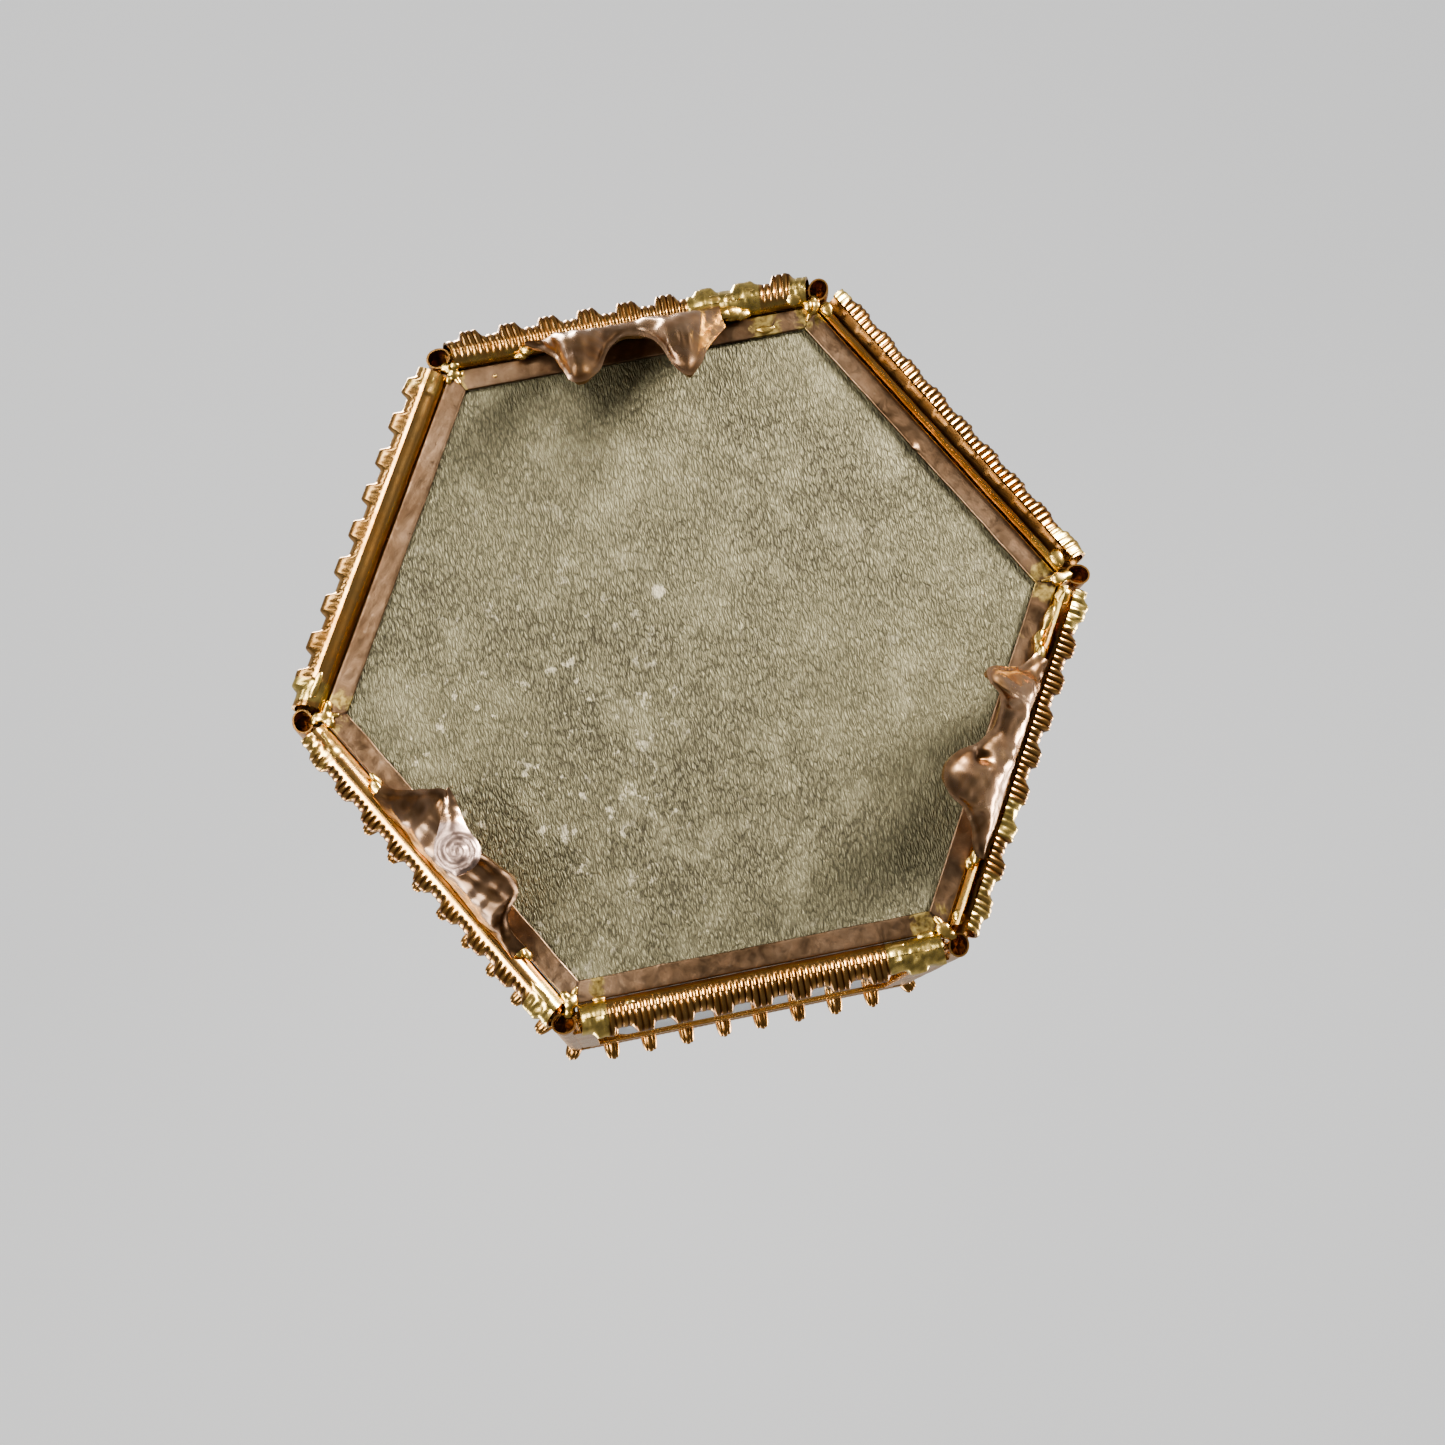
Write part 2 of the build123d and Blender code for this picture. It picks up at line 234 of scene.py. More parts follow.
def paper_mat():
    """Gold-embossed leatherette: long fine grain, greenish antique gold on the crests, dull in the creases, pale dust."""
    t = Tree("gold_paper")
    warp = t.noise(700, 2, 0.5)
    base = t.mapping(rot=GRAIN_ROT)
    along = t.mapping(scale=(1450, 5200, 1450), vec=base)
    wv = t.n("ShaderNodeVectorMath", operation="ADD")
    t.put(wv.inputs[0], along)
    off = t.n("ShaderNodeVectorMath", operation="SCALE")
    t.put(off.inputs[0], t.n("ShaderNodeTexNoise").outputs["Color"])
    src = [n for n in t.nt.nodes if n.type == "TEX_NOISE"][-1]
    t.put(src.inputs["Vector"], t.obj())
    src.inputs["Scale"].default_value = 900
    off.inputs["Scale"].default_value = 0.7
    t.put(wv.inputs[1], off.outputs[0])
    vec = wv.outputs[0]
    cells = t.voronoi(1.0, vec=vec, feature="SMOOTH_F1", smooth=0.35)
    creases = t.voronoi(0.62, vec=vec, feature="DISTANCE_TO_EDGE")
    fib = t.noise(1.5, 4, 0.62, vec=vec)
    h = t.math("ADD", t.math("MULTIPLY", cells, -0.55), t.math("MULTIPLY", fib, 0.95))
    h = t.math("ADD", h, t.math("MULTIPLY", t.remap(creases, 0.0, 0.2), 0.35))
    big = t.noise(55, 4, 0.55)
    patch = t.noise(210, 4, 0.6)
    col = t.ramp(h, [(0.20, (0.040, 0.034, 0.019)), (0.48, (0.095, 0.085, 0.050)), (0.74, (0.158, 0.142, 0.085)), (0.95, (0.33, 0.30, 0.185))])
    col = t.mix(t.remap(big, 0.35, 0.68, 0.0, 0.38), col, (0.16, 0.145, 0.085))
    col = t.mix(t.remap(patch, 0.52, 0.72, 0.0, 0.25), col, (0.33, 0.30, 0.19))
    # pale dust, mostly in one region
    m = t.mapping(loc=(0.0175, 0.012, 0.0), scale=(1, 1, 0))
    ln = t.n("ShaderNodeVectorMath", operation="LENGTH")
    t.put(ln.inputs[0], m)
    near = t.remap(ln.outputs["Value"], 0.006, 0.024, 1.0, 0.12)
    d1 = t.noise(820, 3, 0.6, vec=t.mapping(loc=(0.11, 0.07, 0.0)))
    d2 = t.noise(230, 3, 0.6, vec=t.mapping(loc=(0.31, 0.17, 0.0)))
    spots = t.math("MULTIPLY", t.remap(d1, 0.60, 0.68), t.remap(d2, 0.42, 0.56))
    spots = t.math("MULTIPLY", spots, near)
    one = t.mapping(loc=(-0.00428, 0.00508, 0.0), scale=(1, 1, 0))
    ln2 = t.n("ShaderNodeVectorMath", operation="LENGTH")
    t.put(ln2.inputs[0], one)
    dist2 = t.math("ADD", ln2.outputs["Value"], t.math("MULTIPLY", t.math("SUBTRACT", d1, 0.5), 0.0018))
    spots = t.math("MAXIMUM", spots, t.remap(dist2, 0.0004, 0.0008, 1.0, 0.0))
    col = t.mix(t.math("MULTIPLY", spots, 0.62), col, (0.66, 0.60, 0.44))
    rgh = t.math("ADD", t.remap(h, 0.3, 0.9, 0.46, 0.27), t.math("MULTIPLY", spots, 0.25))
    t.bsdf(Base_Color=col, Metallic=0.72, Roughness=rgh, Normal=t.bump(h, 1.0, 0.00011))
    return t.mat


PAPER = paper_mat()


def board_mat():
    t = Tree("board")
    f = t.noise(900, 4, 0.6)
    col = t.ramp(f, [(0.3, (0.22, 0.16, 0.10)), (0.7, (0.42, 0.33, 0.23))])
    t.bsdf(Base_Color=col, Roughness=t.remap(f, 0.3, 0.7, 0.75, 0.95), Normal=t.bump(t.noise(4000, 2), 0.3, 0.0001))
    return t.mat


BOARD = board_mat()


def velvet_mat():
    t = Tree("velvet")
    big = t.noise(130, 3, 0.5)
    nap = t.noise(1.0, 3, 0.6, vec=t.mapping(scale=(2400, 1500, 2400), rot=(0, 0, 0.5)))
    col = t.ramp(big, [(0.30, (0.085, 0.006, 0.011)), (0.55, (0.165, 0.013, 0.021)), (0.75, (0.245, 0.024, 0.033))])
    col = t.mix(t.remap(nap, 0.35, 0.7, 0.0, 0.5), col, (0.07, 0.005, 0.009))
    # painted shade: folds and button dimples darkened
    col = t.mix(t.math("MULTIPLY", t.attr("grime_and_painted_shade"), 0.7, True), col, (0.045, 0.003, 0.006))
    p = t.bsdf(Base_Color=col, Roughness=t.remap(nap, 0.3, 0.7, 0.72, 0.95), Normal=t.bump(t.math("ADD", nap, t.noise(5200, 2)), 0.55, 0.00016))
    p.inputs["Sheen Weight"].default_value = 0.30
    p.inputs["Sheen Roughness"].default_value = 0.34
    p.inputs["Sheen Tint"].default_value = (0.75, 0.16, 0.17, 1)
    p.inputs["Specular IOR Level"].default_value = 0.2
    return t.mat


VELVET = velvet_mat()


def glass_mat(name, ior):
    t = Tree(name)
    smear = t.noise(60, 4, 0.6, distort=0.8)
    rgh = t.remap(smear, 0.45, 0.75, 0.008, 0.055)
    p = t.bsdf(Base_Color=(0.93, 0.975, 0.955), Roughness=rgh, Normal=t.bump(t.noise(45, 2, 0.5), 0.05, 0.0003))
    p.inputs["Transmission Weight"].default_value = 1.0
    p.inputs["IOR"].default_value = ior
    p.inputs["Coat Weight"].default_value = 0.8
    p.inputs["Coat Roughness"].default_value = 0.02
    tr = t.n("ShaderNodeBsdfTransparent")
    tr.inputs[0].default_value = (0.93, 0.96, 0.945, 1)
    lp = t.n("ShaderNodeLightPath")
    mx = t.n("ShaderNodeMixShader")
    t.put(mx.inputs[0], t.math("MAXIMUM", lp.outputs["Is Shadow Ray"], lp.outputs["Is Diffuse Ray"]))
    t.put(mx.inputs[1], p.outputs[0])
    t.put(mx.inputs[2], tr.outputs[0])
    t.nt.links.new(mx.outputs[0], t.out.inputs[0])
    return t.mat


GLASS = glass_mat("glass", 1.10)
GLASS_LID = glass_mat("glass_lid", 1.03)


# ---------------------------------------------------------------- mesh helpers
def place(az, R, U, Z):
    a = math.radians(az)
    ca, sa = math.cos(a), math.sin(a)
    R, U, Z = np.broadcast_arrays(np.asarray(R, float), np.asarray(U, float), np.asarray(Z, float))
    return np.stack([R * ca - U * sa, R * sa + U * ca, Z], -1) * MM


def wob(P, scale, seed, n=6):
    """Smooth seeded noise about 0, size about 1, for points in mm."""
    r = np.random.default_rng(seed)
    out = np.zeros(P.shape[:-1])
    for _ in range(n):
        d = r.normal(size=3)
        d /= np.linalg.norm(d)
        out += np.sin(P @ d * (2 * math.pi / scale * r.uniform(0.6, 1.7)) + r.uniform(0, 6.28))
    return out / math.sqrt(n)


def sstep(x, a, b):
    t = np.clip((x - a) / (b - a), 0, 1)
    return t * t * (3 - 2 * t)


def grid_faces(m, n, wrap=False, base=0):
    i = np.arange(m - 1)[:, None]
    j = np.arange(n if wrap else n - 1)[None, :]
    k = (j + 1) % n
    return (np.stack(np.broadcast_arrays(i * n + j, i * n + k, (i + 1) * n + k, (i + 1) * n + j), -1).reshape(-1, 4) + base).tolist()


class Build:
    """Collects vertices, faces and float attributes, in metres, for one piece."""

    def __init__(self):
        self.v, self.f, self.a, self.count = [], [], {"grime_and_painted_shade": [], "solder": []}, 0

    def add(self, V, faces, grime_and_painted_shade=0.0, solder=0.0):
        V = np.asarray(V, float).reshape(-1, 3)
        self.v.append(V)
        self.f += [[i + self.count for i in f] for f in faces]
        self.a["grime_and_painted_shade"].append(np.broadcast_to(np.asarray(grime_and_painted_shade, float).ravel() if np.ndim(grime_and_painted_shade) else grime_and_painted_shade, (len(V),)))
        self.a["solder"].append(np.broadcast_to(np.asarray(solder, float).ravel() if np.ndim(solder) else solder, (len(V),)))
        self.count += len(V)

    def grid(self, V, wrap=False, caps=False, grime_and_painted_shade=0.0, solder=0.0):
        m, n = V.shape[:2]
        faces = grid_faces(m, n, wrap)
        if caps:
            faces.append(list(range(n)))
            faces.append(list(range((m - 1) * n, m * n))[::-1])
        self.add(V, faces, grime_and_painted_shade, solder)

    def make(self, name, mat, sharp=38, fix=True):
        me = bpy.data.meshes.new(name)
        me.from_pydata(np.concatenate(self.v).tolist(), [], self.f)
        for k, parts in self.a.items():
            at = me.attributes.new(k, "FLOAT", "POINT")
            at.data.foreach_set("value", np.concatenate(parts).astype(np.float32))
        if fix:
            bm = bmesh.new()
            bm.from_mesh(me)
            bmesh.ops.recalc_face_normals(bm, faces=bm.faces)
            bm.to_mesh(me)
            bm.free()
        me.polygons.foreach_set("use_smooth", [True] * len(me.polygons))
        me.update()
        if sharp:
            me.set_sharp_from_angle(angle=math.radians(sharp))
        me.materials.append(mat)
        ob = bpy.data.objects.new(name, me)
        S.collection.objects.link(ob)
        return ob


def done(ob, body, slot, *replaced):
    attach(ob, body)
    if replaced:
        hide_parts(*replaced)
    return ob


def round_loop(pts, rad, seg=3, step=None):
    """A closed polygon with rounded corners; step subdivides its straight runs."""
    pts = [np.array(p, float) for p in pts]
    out = []
    n = len(pts)
    for i in range(n):
        a, b, c = pts[i - 1], pts[i], pts[(i + 1) % n]
        d1, d2 = (a - b) / np.linalg.norm(a - b), (c - b) / np.linalg.norm(c - b)
        k = min(rad, 0.45 * np.linalg.norm(a - b), 0.45 * np.linalg.norm(c - b))
        p, q = b + d1 * k, b + d2 * k
        for s in range(seg + 1):
            t = s / seg
            out.append((1 - t) ** 2 * p + 2 * t * (1 - t) * b + t * t * q)
    if step:
        dense = []
        for i, p in enumerate(out):
            q = out[(i + 1) % len(out)]
            k = max(1, int(round(np.linalg.norm(q - p) / step)))
            dense += [p + (q - p) * s / k for s in range(k)]
        out = dense
    return np.array(out)


def applied(ob):
    """Replaces ob's mesh with its evaluated one and removes its modifiers."""
    bpy.context.view_layer.update()
    dg = bpy.context.evaluated_depsgraph_get()
    me = bpy.data.meshes.new_from_object(ob.evaluated_get(dg), preserve_all_data_layers=True, depsgraph=dg)
    old = ob.data
    ob.modifiers.clear()
    ob.data = me
    me.name = old.name
    return ob


# ---------------------------------------------------------------- stage and light
def disk(name, z, radius, centre, up):
    a = np.linspace(0, 2 * math.pi, 97)[:-1]
    V = np.stack([centre[0] + radius * np.cos(a), centre[1] + radius * np.sin(a), np.full(96, z)], 1)
    me = bpy.data.meshes.new(name)
    idx = list(range(96)) if up else list(range(96))[::-1]
    me.from_pydata(V.tolist(), [], [idx])
    ob = bpy.data.objects.new(name, me)
    S.collection.objects.link(ob)
    for flag in ("visible_diffuse", "visible_glossy", "visible_shadow", "visible_volume_scatter"):
        setattr(ob, flag, False)
    return ob


def stage_mat(name, colour, emit):
    t = Tree(name)
    geo = t.n("ShaderNodeNewGeometry")
    tr = t.n("ShaderNodeBsdfTransparent")
    p = t.n("ShaderNodeBsdfPrincipled")
    tone = t.mix(t.remap(t.noise(3.0, 3), 0.3, 0.7), tuple(c * 0.97 for c in colour), colour)
    t.put(p.inputs["Base Color"], tone)
    p.inputs["Roughness"].default_value = 0.9
    p.inputs["Specular IOR Level"].default_value = 0.1
    p.inputs["Emission Color"].default_value = (1, 1, 1, 1)
    p.inputs["Emission Strength"].default_value = emit
    mx = t.n("ShaderNodeMixShader")
    t.put(mx.inputs[0], geo.outputs["Backfacing"])
    t.put(mx.inputs[1], p.outputs[0])
    t.put(mx.inputs[2], tr.outputs[0])
    t.nt.links.new(mx.outputs[0], t.out.inputs[0])
    return t.mat


floor = disk("stage_floor", -0.00004, 1.6, (0, 0), True)
floor.data.materials.append(stage_mat("stage_floor", (0.42, 0.42, 0.415), 0.42))
backdrop = disk("stage_backdrop", 0.80, 0.62, (0.124, -0.010), False)
backdrop.data.materials.append(stage_mat("stage_backdrop", (0.3, 0.3, 0.3), 0.60))

world = bpy.data.worlds.new("soft_world")
S.world = world
world.use_nodes = True
wn = world.node_tree
bg = wn.nodes.get("Background") or wn.nodes.new("ShaderNodeBackground")
bg.inputs[0].default_value = (0.90, 0.91, 0.93, 1)
lp = wn.nodes.new("ShaderNodeLightPath")
seen = wn.nodes.new("ShaderNodeMath")
seen.operation = "MAXIMUM"
level = wn.nodes.new("ShaderNodeMapRange")
sky = wn.nodes.new("ShaderNodeTexCoord")
axis = wn.nodes.new("ShaderNodeSeparateXYZ")
grad = wn.nodes.new("ShaderNodeMapRange")
grad.inputs["From Min"].default_value = -0.35
grad.inputs["From Max"].default_value = 0.45
grad.inputs["To Min"].default_value = 0.13
grad.inputs["To Max"].default_value = 0.42
wn.links.new(sky.outputs["Generated"], axis.inputs[0])
wn.links.new(axis.outputs["Z"], grad.inputs["Value"])
wn.links.new(grad.outputs[0], level.inputs["To Min"])
level.inputs["To Max"].default_value = 0.72
wn.links.new(lp.outputs["Is Camera Ray"], seen.inputs[0])
wn.links.new(lp.outputs["Is Transmission Ray"], seen.inputs[1])
wn.links.new(seen.outputs[0], level.inputs["Value"])
wn.links.new(level.outputs[0], bg.inputs[1])


def area(name, where, target, size, power, colour=(1, 1, 1), size_y=None):
    d = bpy.data.lights.new(name, "AREA")
    d.energy = power
    d.color = colour
    d.size = size
    if size_y:
        d.shape = "RECTANGLE"
        d.size_y = size_y
    o = bpy.data.objects.new(name, d)
    S.collection.objects.link(o)
    o.location = where
    o.rotation_mode = "QUATERNION"
    o.rotation_quaternion = (Vector(where) - Vector(target)).to_track_quat("Z", "Y")
    o.visible_camera = False
    return o


def rel(r, u, b, dist):
    v = RIGHT * r + UP * u + BACK * b
    return tuple(Vector((0, 0, 0.03)) + v.normalized() * dist)


MID = (0, 0, 0.02)
area("under_key", rel(0.66, 0.60, 0.46, 0.42), MID, 0.15, 4.6, (1.0, 0.97, 0.93))
area("under_left", rel(-0.50, -0.14, 0.86, 0.46), (-0.012, -0.006, 0.012), 0.17, 1.7, (1.0, 0.98, 0.94))
area("under_left_2", rel(-0.42, 0.43, 0.80, 0.46), (-0.006, -0.004, 0.012), 0.15, 0.9, (1.0, 0.98, 0.94))
area("under_rim", rel(-0.80, 0.62, 0.30, 0.45), MID, 0.30, 0.45, (0.95, 0.97, 1.0), 0.06)
area("over_key", (0.30, -0.34, 0.42), (0, 0, 0.035), 0.26, 5.5, (1.0, 0.97, 0.93))
area("over_fill", (-0.42, -0.16, 0.30), (0, 0, 0.035), 0.30, 2.6, (0.94, 0.97, 1.0))
area("over_back", (0.05, 0.46, 0.36), (0, 0, 0.04), 0.24, 3.4, (1.0, 0.96, 0.9))

# ---------------------------------------------------------------- rolled, ribbed and scalloped base rails
PITCH = 0.65
# side: seam edges in degrees round the tube, lobe shift, patches of solder (from u, to u, strength), colour of the
# ridge, angle where the ribs end, lobe outset, base outset, angle where the ribs start, painted shade on the tube's
# inside face, reach of the two ends
RAILS = {
    330: ((1, 359), 0.0, [(6.2, 13.8, 1.0), (16.6, 18.6, 0.8), (-18.6, -17.8, 0.3)], 0.42, 385, 0.80, 0.0, 262, 0.34, (19.1, 19.1)),
    30: ((40, 344), 0.6, [(-18.6, -16.4, 0.6), (14.5, 18.6, 0.5)], 0.0, 352, 0.28, 0.42, 262, 0.85, (18.4, 18.9)),
    90: ((29, 354), -0.4, [(-18.6, -14.0, 0.7), (4.6, 8.2, 0.75), (11.5, 18.6, 0.45)], 0.0, 362, 0.55, 0.0, 262, 0.40, (18.4, 18.7)),
    150: ((1, 359), 0.3, [(-18.6, -12.8, 1.0), (15.4, 18.6, 0.9)], 0.0, 392, 0.70, 0.0, 262, 0.34, (18.4, 18.4)),
    210: ((1, 359), -0.2, [(-18.6, -15.6, 0.6), (15.0, 18.6, 0.4)], 0.30, 338, 0.55, 0.0, 262, 0.34, (19.1, 18.6)),
    270: ((1, 359), 0.2, [(-18.6, -15.4, 0.6), (16.0, 18.6, 0.4)], 0.0, 341, 0.80, 0.0, 318, 0.34, (19.0, 18.5)),
}


def rib_shape(x, seed):
    """Round ribs at PITCH with tight hollows between them: 0 in a hollow, 1 on a crest. x in mm."""
    k = np.floor(x / PITCH)
    f = x / PITCH - k - 0.5
    h = np.sqrt(np.clip(1 - (2 * f) ** 2, 0, 1))
    r = np.random.default_rng(seed)
    size = r.uniform(0.8, 1.12, 400)
    return h, size[(k.astype(int) + 200) % 400]


def base_rail(az):
    (p0, p1), shift, patches, ridge, rib_end, lobe_out, base_out, rib_from, dark, (enda, endb) = RAILS[az]
    R, T = 1.5, 0.24
    name = SIDE[az]
    s = np.linspace(-1, 1, int(2 * 18.2 / PITCH * 7) + 1)
    phi = np.radians(np.concatenate([np.linspace(p0, 180, 15)[:-1], np.linspace(180, 250, 5)[:-1], np.linspace(250, p1, 18)]))
    s2, f2 = np.meshgrid(s, phi, indexing="ij")
    fd = np.degrees(f2)
    u0 = s2 * 18.2
    reach = np.where(s2 < 0, enda, endb)
    slant = np.clip(reach - 18.3, 0, 1)
    U = s2 * (reach - 0.30 - 0.12 * np.cos(f2) - slant * (0.30 * np.cos(f2) + 0.35 * np.sin(f2) + 0.25))
    base = np.stack([np.full_like(U, 34.1), U, np.full_like(U, 11.2)], -1)
    h, size = rib_shape(u0 + 0.1 * az, az)
    lob = np.zeros_like(U)
    for k in range(9):
        c = (k - 4) * 3.92 + shift
        lob = np.maximum(lob, sstep(1.30 - np.abs(u0 - c), 0.0, 0.60))
    env = sstep(fd, 190, 225) * (1 - sstep(fd, rib_end - 14, rib_end)) * (0.32 + 0.68 * sstep(fd, rib_from, rib_from + 26))
    if rib_from > 280:
        env = env * sstep(fd, rib_from - 14, rib_from + 4)
    if rib_end > 362:
        env = np.maximum(env, (fd < 100) * (1 - sstep(fd, rib_end - 366, rib_end - 354)))
    sol = np.zeros_like(U)
    lump = wob(base * [1, 1, 1] + np.stack([0 * U, 0 * U, f2 * 1.2], -1), 1.6, az)
    for a, b, w in patches:
        edge = wob(base, 3.0, az + 5) * 0.5
        sol = np.maximum(sol, w * sstep(u0 + edge, a - 0.4, a + 0.4) * (1 - sstep(u0 + edge, b - 0.4, b + 0.4)))
    fill = np.clip(sol, 0, 1)
    rib = env * (1 - 0.86 * fill)
    rad = R + rib * (0.20 * size * h - 0.16) + 0.022 * wob(base, 5.0, az + 1)
    low = np.maximum(sstep(fd, 215, 280), (fd < 100) * (1 - sstep(fd, 10, 40)))
    rad = rad + fill * (0.08 + 0.085 * lump) * low
    out = lobe_out * lob * sstep(fd, 200, 244) * (1 - sstep(fd, 282, 340)) * (1 - 0.3 * fill)
    out = out + base_out * sstep(fd, 200, 244) * (1 - sstep(fd, 300, 352))
    Rr = 34.1 - rad * np.sin(f2) + out
    Zz = 11.2 - rad * np.cos(f2)
    outer = np.stack([Rr, U + 0.02 * wob(base, 4, az + 2), Zz], -1)
    keep = np.r_[0:len(phi):3] if (len(phi) - 1) % 3 == 0 else np.r_[0:len(phi) - 1:3, len(phi) - 1]
    inner_f = f2[:, keep]
    inner = np.stack([34.1 - (R - T) * np.sin(inner_f) + out[:, keep] * 0.9, outer[:, keep, 1], 11.2 - (R - T) * np.cos(inner_f)], -1)
    n, k = outer.shape[1], inner.shape[1]
    V = np.concatenate([outer, inner[:, ::-1]], 1)
    m, w = V.shape[:2]
    faces = grid_faces(m, w, True)
    kr = list(keep)
    for col, flip in ((0, False), (m - 1, True)):
        for q in range(k - 1):
            ring = list(range(kr[q], kr[q + 1] + 1)) + [n + (k - 1 - (q + 1)), n + (k - 1 - q)]
            ring = [col * w + i for i in ring]
            faces.append(ring[::-1] if flip else ring)
    tongue = sstep(out, 0.15, 0.5) * (1 - sstep(fd, 296, 318))
    # painted shade with some grime in the hollows between ribs, lobes darker, and a flat painted shade per side on the
    # tube's inside face
    grime_and_painted_shade = np.concatenate([np.clip(np.clip(rib * 1.3, 0, 1) * np.clip((0.97 - h) / 0.30, 0, 1) + 0.42 * tongue, 0, 1), np.full((m, k), dark)], 1)
    solder = np.concatenate([np.maximum(fill, ridge * (1 - env)), np.zeros((m, k))], 1)
    b = Build()
    P = place(az, V[..., 0], V[..., 1], V[..., 2])
    b.add(P, faces, grime_and_painted_shade, solder)
    # the channel that holds the glass
    loop = round_loop([(32.5, 12.56), (35.2, 12.56), (35.2, 15.2), (34.9, 15.2), (34.9, 12.9), (33.3, 12.9), (33.3, 15.2), (33.0, 15.2), (33.0, 12.9), (32.5, 12.9)], 0.10, 2)
    us = np.linspace(-18.2, 18.2, 60)
    L = np.broadcast_to(loop, (60, *loop.shape))
    wave = wob(np.stack([L[..., 0], np.broadcast_to(us[:, None], L.shape[:2]), L[..., 1]], -1), 6, az + 9)
    hi = sstep(L[..., 1], 13.4, 15.2)
    b.grid(place(az, L[..., 0] + 0.03 * wave * hi, us[:, None], L[..., 1] + 0.04 * wave * hi), True, True, grime_and_painted_shade=0.1)
    return done(b.make("rail_base_" + name, GILT, 50), "root", "gilt_brass", "base_rail_" + name)


for az in RAILS:
    base_rail(az)

# ---------------------------------------------------------------- flat lips under the floor panel
BURR = {30: [(-0.94, 0.9, 0.30)], 150: [(9.4, 0.5, 0.10)], 270: [(-6.0, 0.4, 0.08)]}


def lip(az):
    name = SIDE[az]
    loop = round_loop([(30.31, 11.1), (32.46, 11.1), (32.46, 14.8), (32.06, 14.8), (32.06, 11.56), (30.31, 11.56)], 0.13, 3, 0.24)
    s = np.linspace(-1, 1, 161)
    L = np.broadcast_to(loop, (161, *loop.shape)).copy()
    r, z = L[..., 0], L[..., 1]
    U = s[:, None] * (r * T30 - 0.02)
    P = np.stack([r, U, z], -1)
    inner = 1 - sstep(r, 30.3, 31.0)
    dr = 0.035 * wob(P * [0, 1, 0], 7, az) * inner
    dz = 0.030 * wob(P * [0, 1, 0], 9, az + 3) * (1 - sstep(z, 11.2, 12.0)) + 0.012 * wob(P, 1.6, az + 4) * (1 - sstep(z, 11.2, 12.0))
    for c, wd, hgt in BURR.get(az, []):
        g = np.exp(-((U - c) / (wd * 0.42)) ** 2) * (1 - sstep(r, 30.35, 30.9))
        dr -= 0.5 * hgt * g
        dz -= hgt * g
    sol = np.zeros_like(r)
    for c, wd, w in {330: [(13.6, 2.6, 0.9), (-17.6, 0.9, 0.6), (17.5, 1.6, 0.8)], 150: [(15.8, 1.4, 0.8), (-16.8, 2.4, 0.9)],
                     90: [(-17.0, 1.6, 0.9), (-12.0, 1.5, 0.5), (17.0, 1.5, 0.6)], 30: [(-17.3, 1.2, 0.7), (17.0, 1.6, 0.8)],
                     210: [(17.0, 1.2, 0.6), (11.5, 1.0, 0.45)], 270: [(-16.5, 1.8, 0.7)]}.get(az, []):
        sol = np.maximum(sol, w * np.exp(-((U - c) / wd) ** 2 * 1.6))
    # painted shade on the upright leg under the rail; darker at the mitred ends and along the inner edge
    grime_and_painted_shade = np.clip(sstep(r, 31.9, 32.4) * 0.35 + sstep(np.abs(s)[:, None] + 0 * r, 0.985, 1.0) * 0.9 + (1 - sstep(r, 30.3, 30.5)) * 0.15, 0, 1)
    b = Build()
    b.grid(place(az, r + dr, U, z + dz), True, True, grime_and_painted_shade, sol)
    return done(b.make("lip_" + name, LIP, 40), "root", "copper_strip", "floor_lip_" + name)


for az in SIDE:
    lip(az)


# ---------------------------------------------------------------- the leatherette panel
def paper():
    n, per = 64, 64
    hexa = []
    for k in range(n + 1):
        ap = 31.66 * k / n
        ring = []
        for i in range(6):
            a0, a1 = math.radians(60 * i), math.radians(60 * i + 60)
            c0 = np.array([math.cos(a0), math.sin(a0)]) * ap / math.cos(math.radians(30))
            c1 = np.array([math.cos(a1), math.sin(a1)]) * ap / math.cos(math.radians(30))
            t = np.arange(per)[:, None] / per
            ring.append(c0 * (1 - t) + c1 * t)
        hexa.append(np.concatenate(ring))
    H = np.array(hexa)
    rho = np.linspace(0, 1, n + 1)[:, None]
    Z0 = np.zeros(H.shape[:2])
    P = np.stack([H[..., 0], H[..., 1], Z0], -1)
    fade = 1 - sstep(rho + Z0, 0.80, 0.95)
    z = 11.602 + fade * (-0.05 + 0.045 * wob(P, 26, 3) + 0.018 * wob(P, 7, 4))
    top = np.full_like(z[-1:], 11.88)
    V = np.concatenate([np.stack([H[..., 0], H[..., 1], z], -1), np.stack([H[-1:, :, 0], H[-1:, :, 1], top], -1)], 0) * MM
    b = Build()
    faces = grid_faces(n + 2, 6 * per, True)
    faces.append([(n + 1) * 6 * per + i for i in range(6 * per)])
    b.add(V, faces)
    ob = b.make("panel_paper", PAPER, 60, fix=False)
    bm = bmesh.new()
    bm.from_mesh(ob.data)
    bmesh.ops.remove_doubles(bm, verts=bm.verts, dist=1e-7)
    bmesh.ops.recalc_face_normals(bm, faces=bm.faces)
    bm.to_mesh(ob.data)
    bm.free()
    return done(ob, "root", "gold_paper", "floor_paper")


paper()

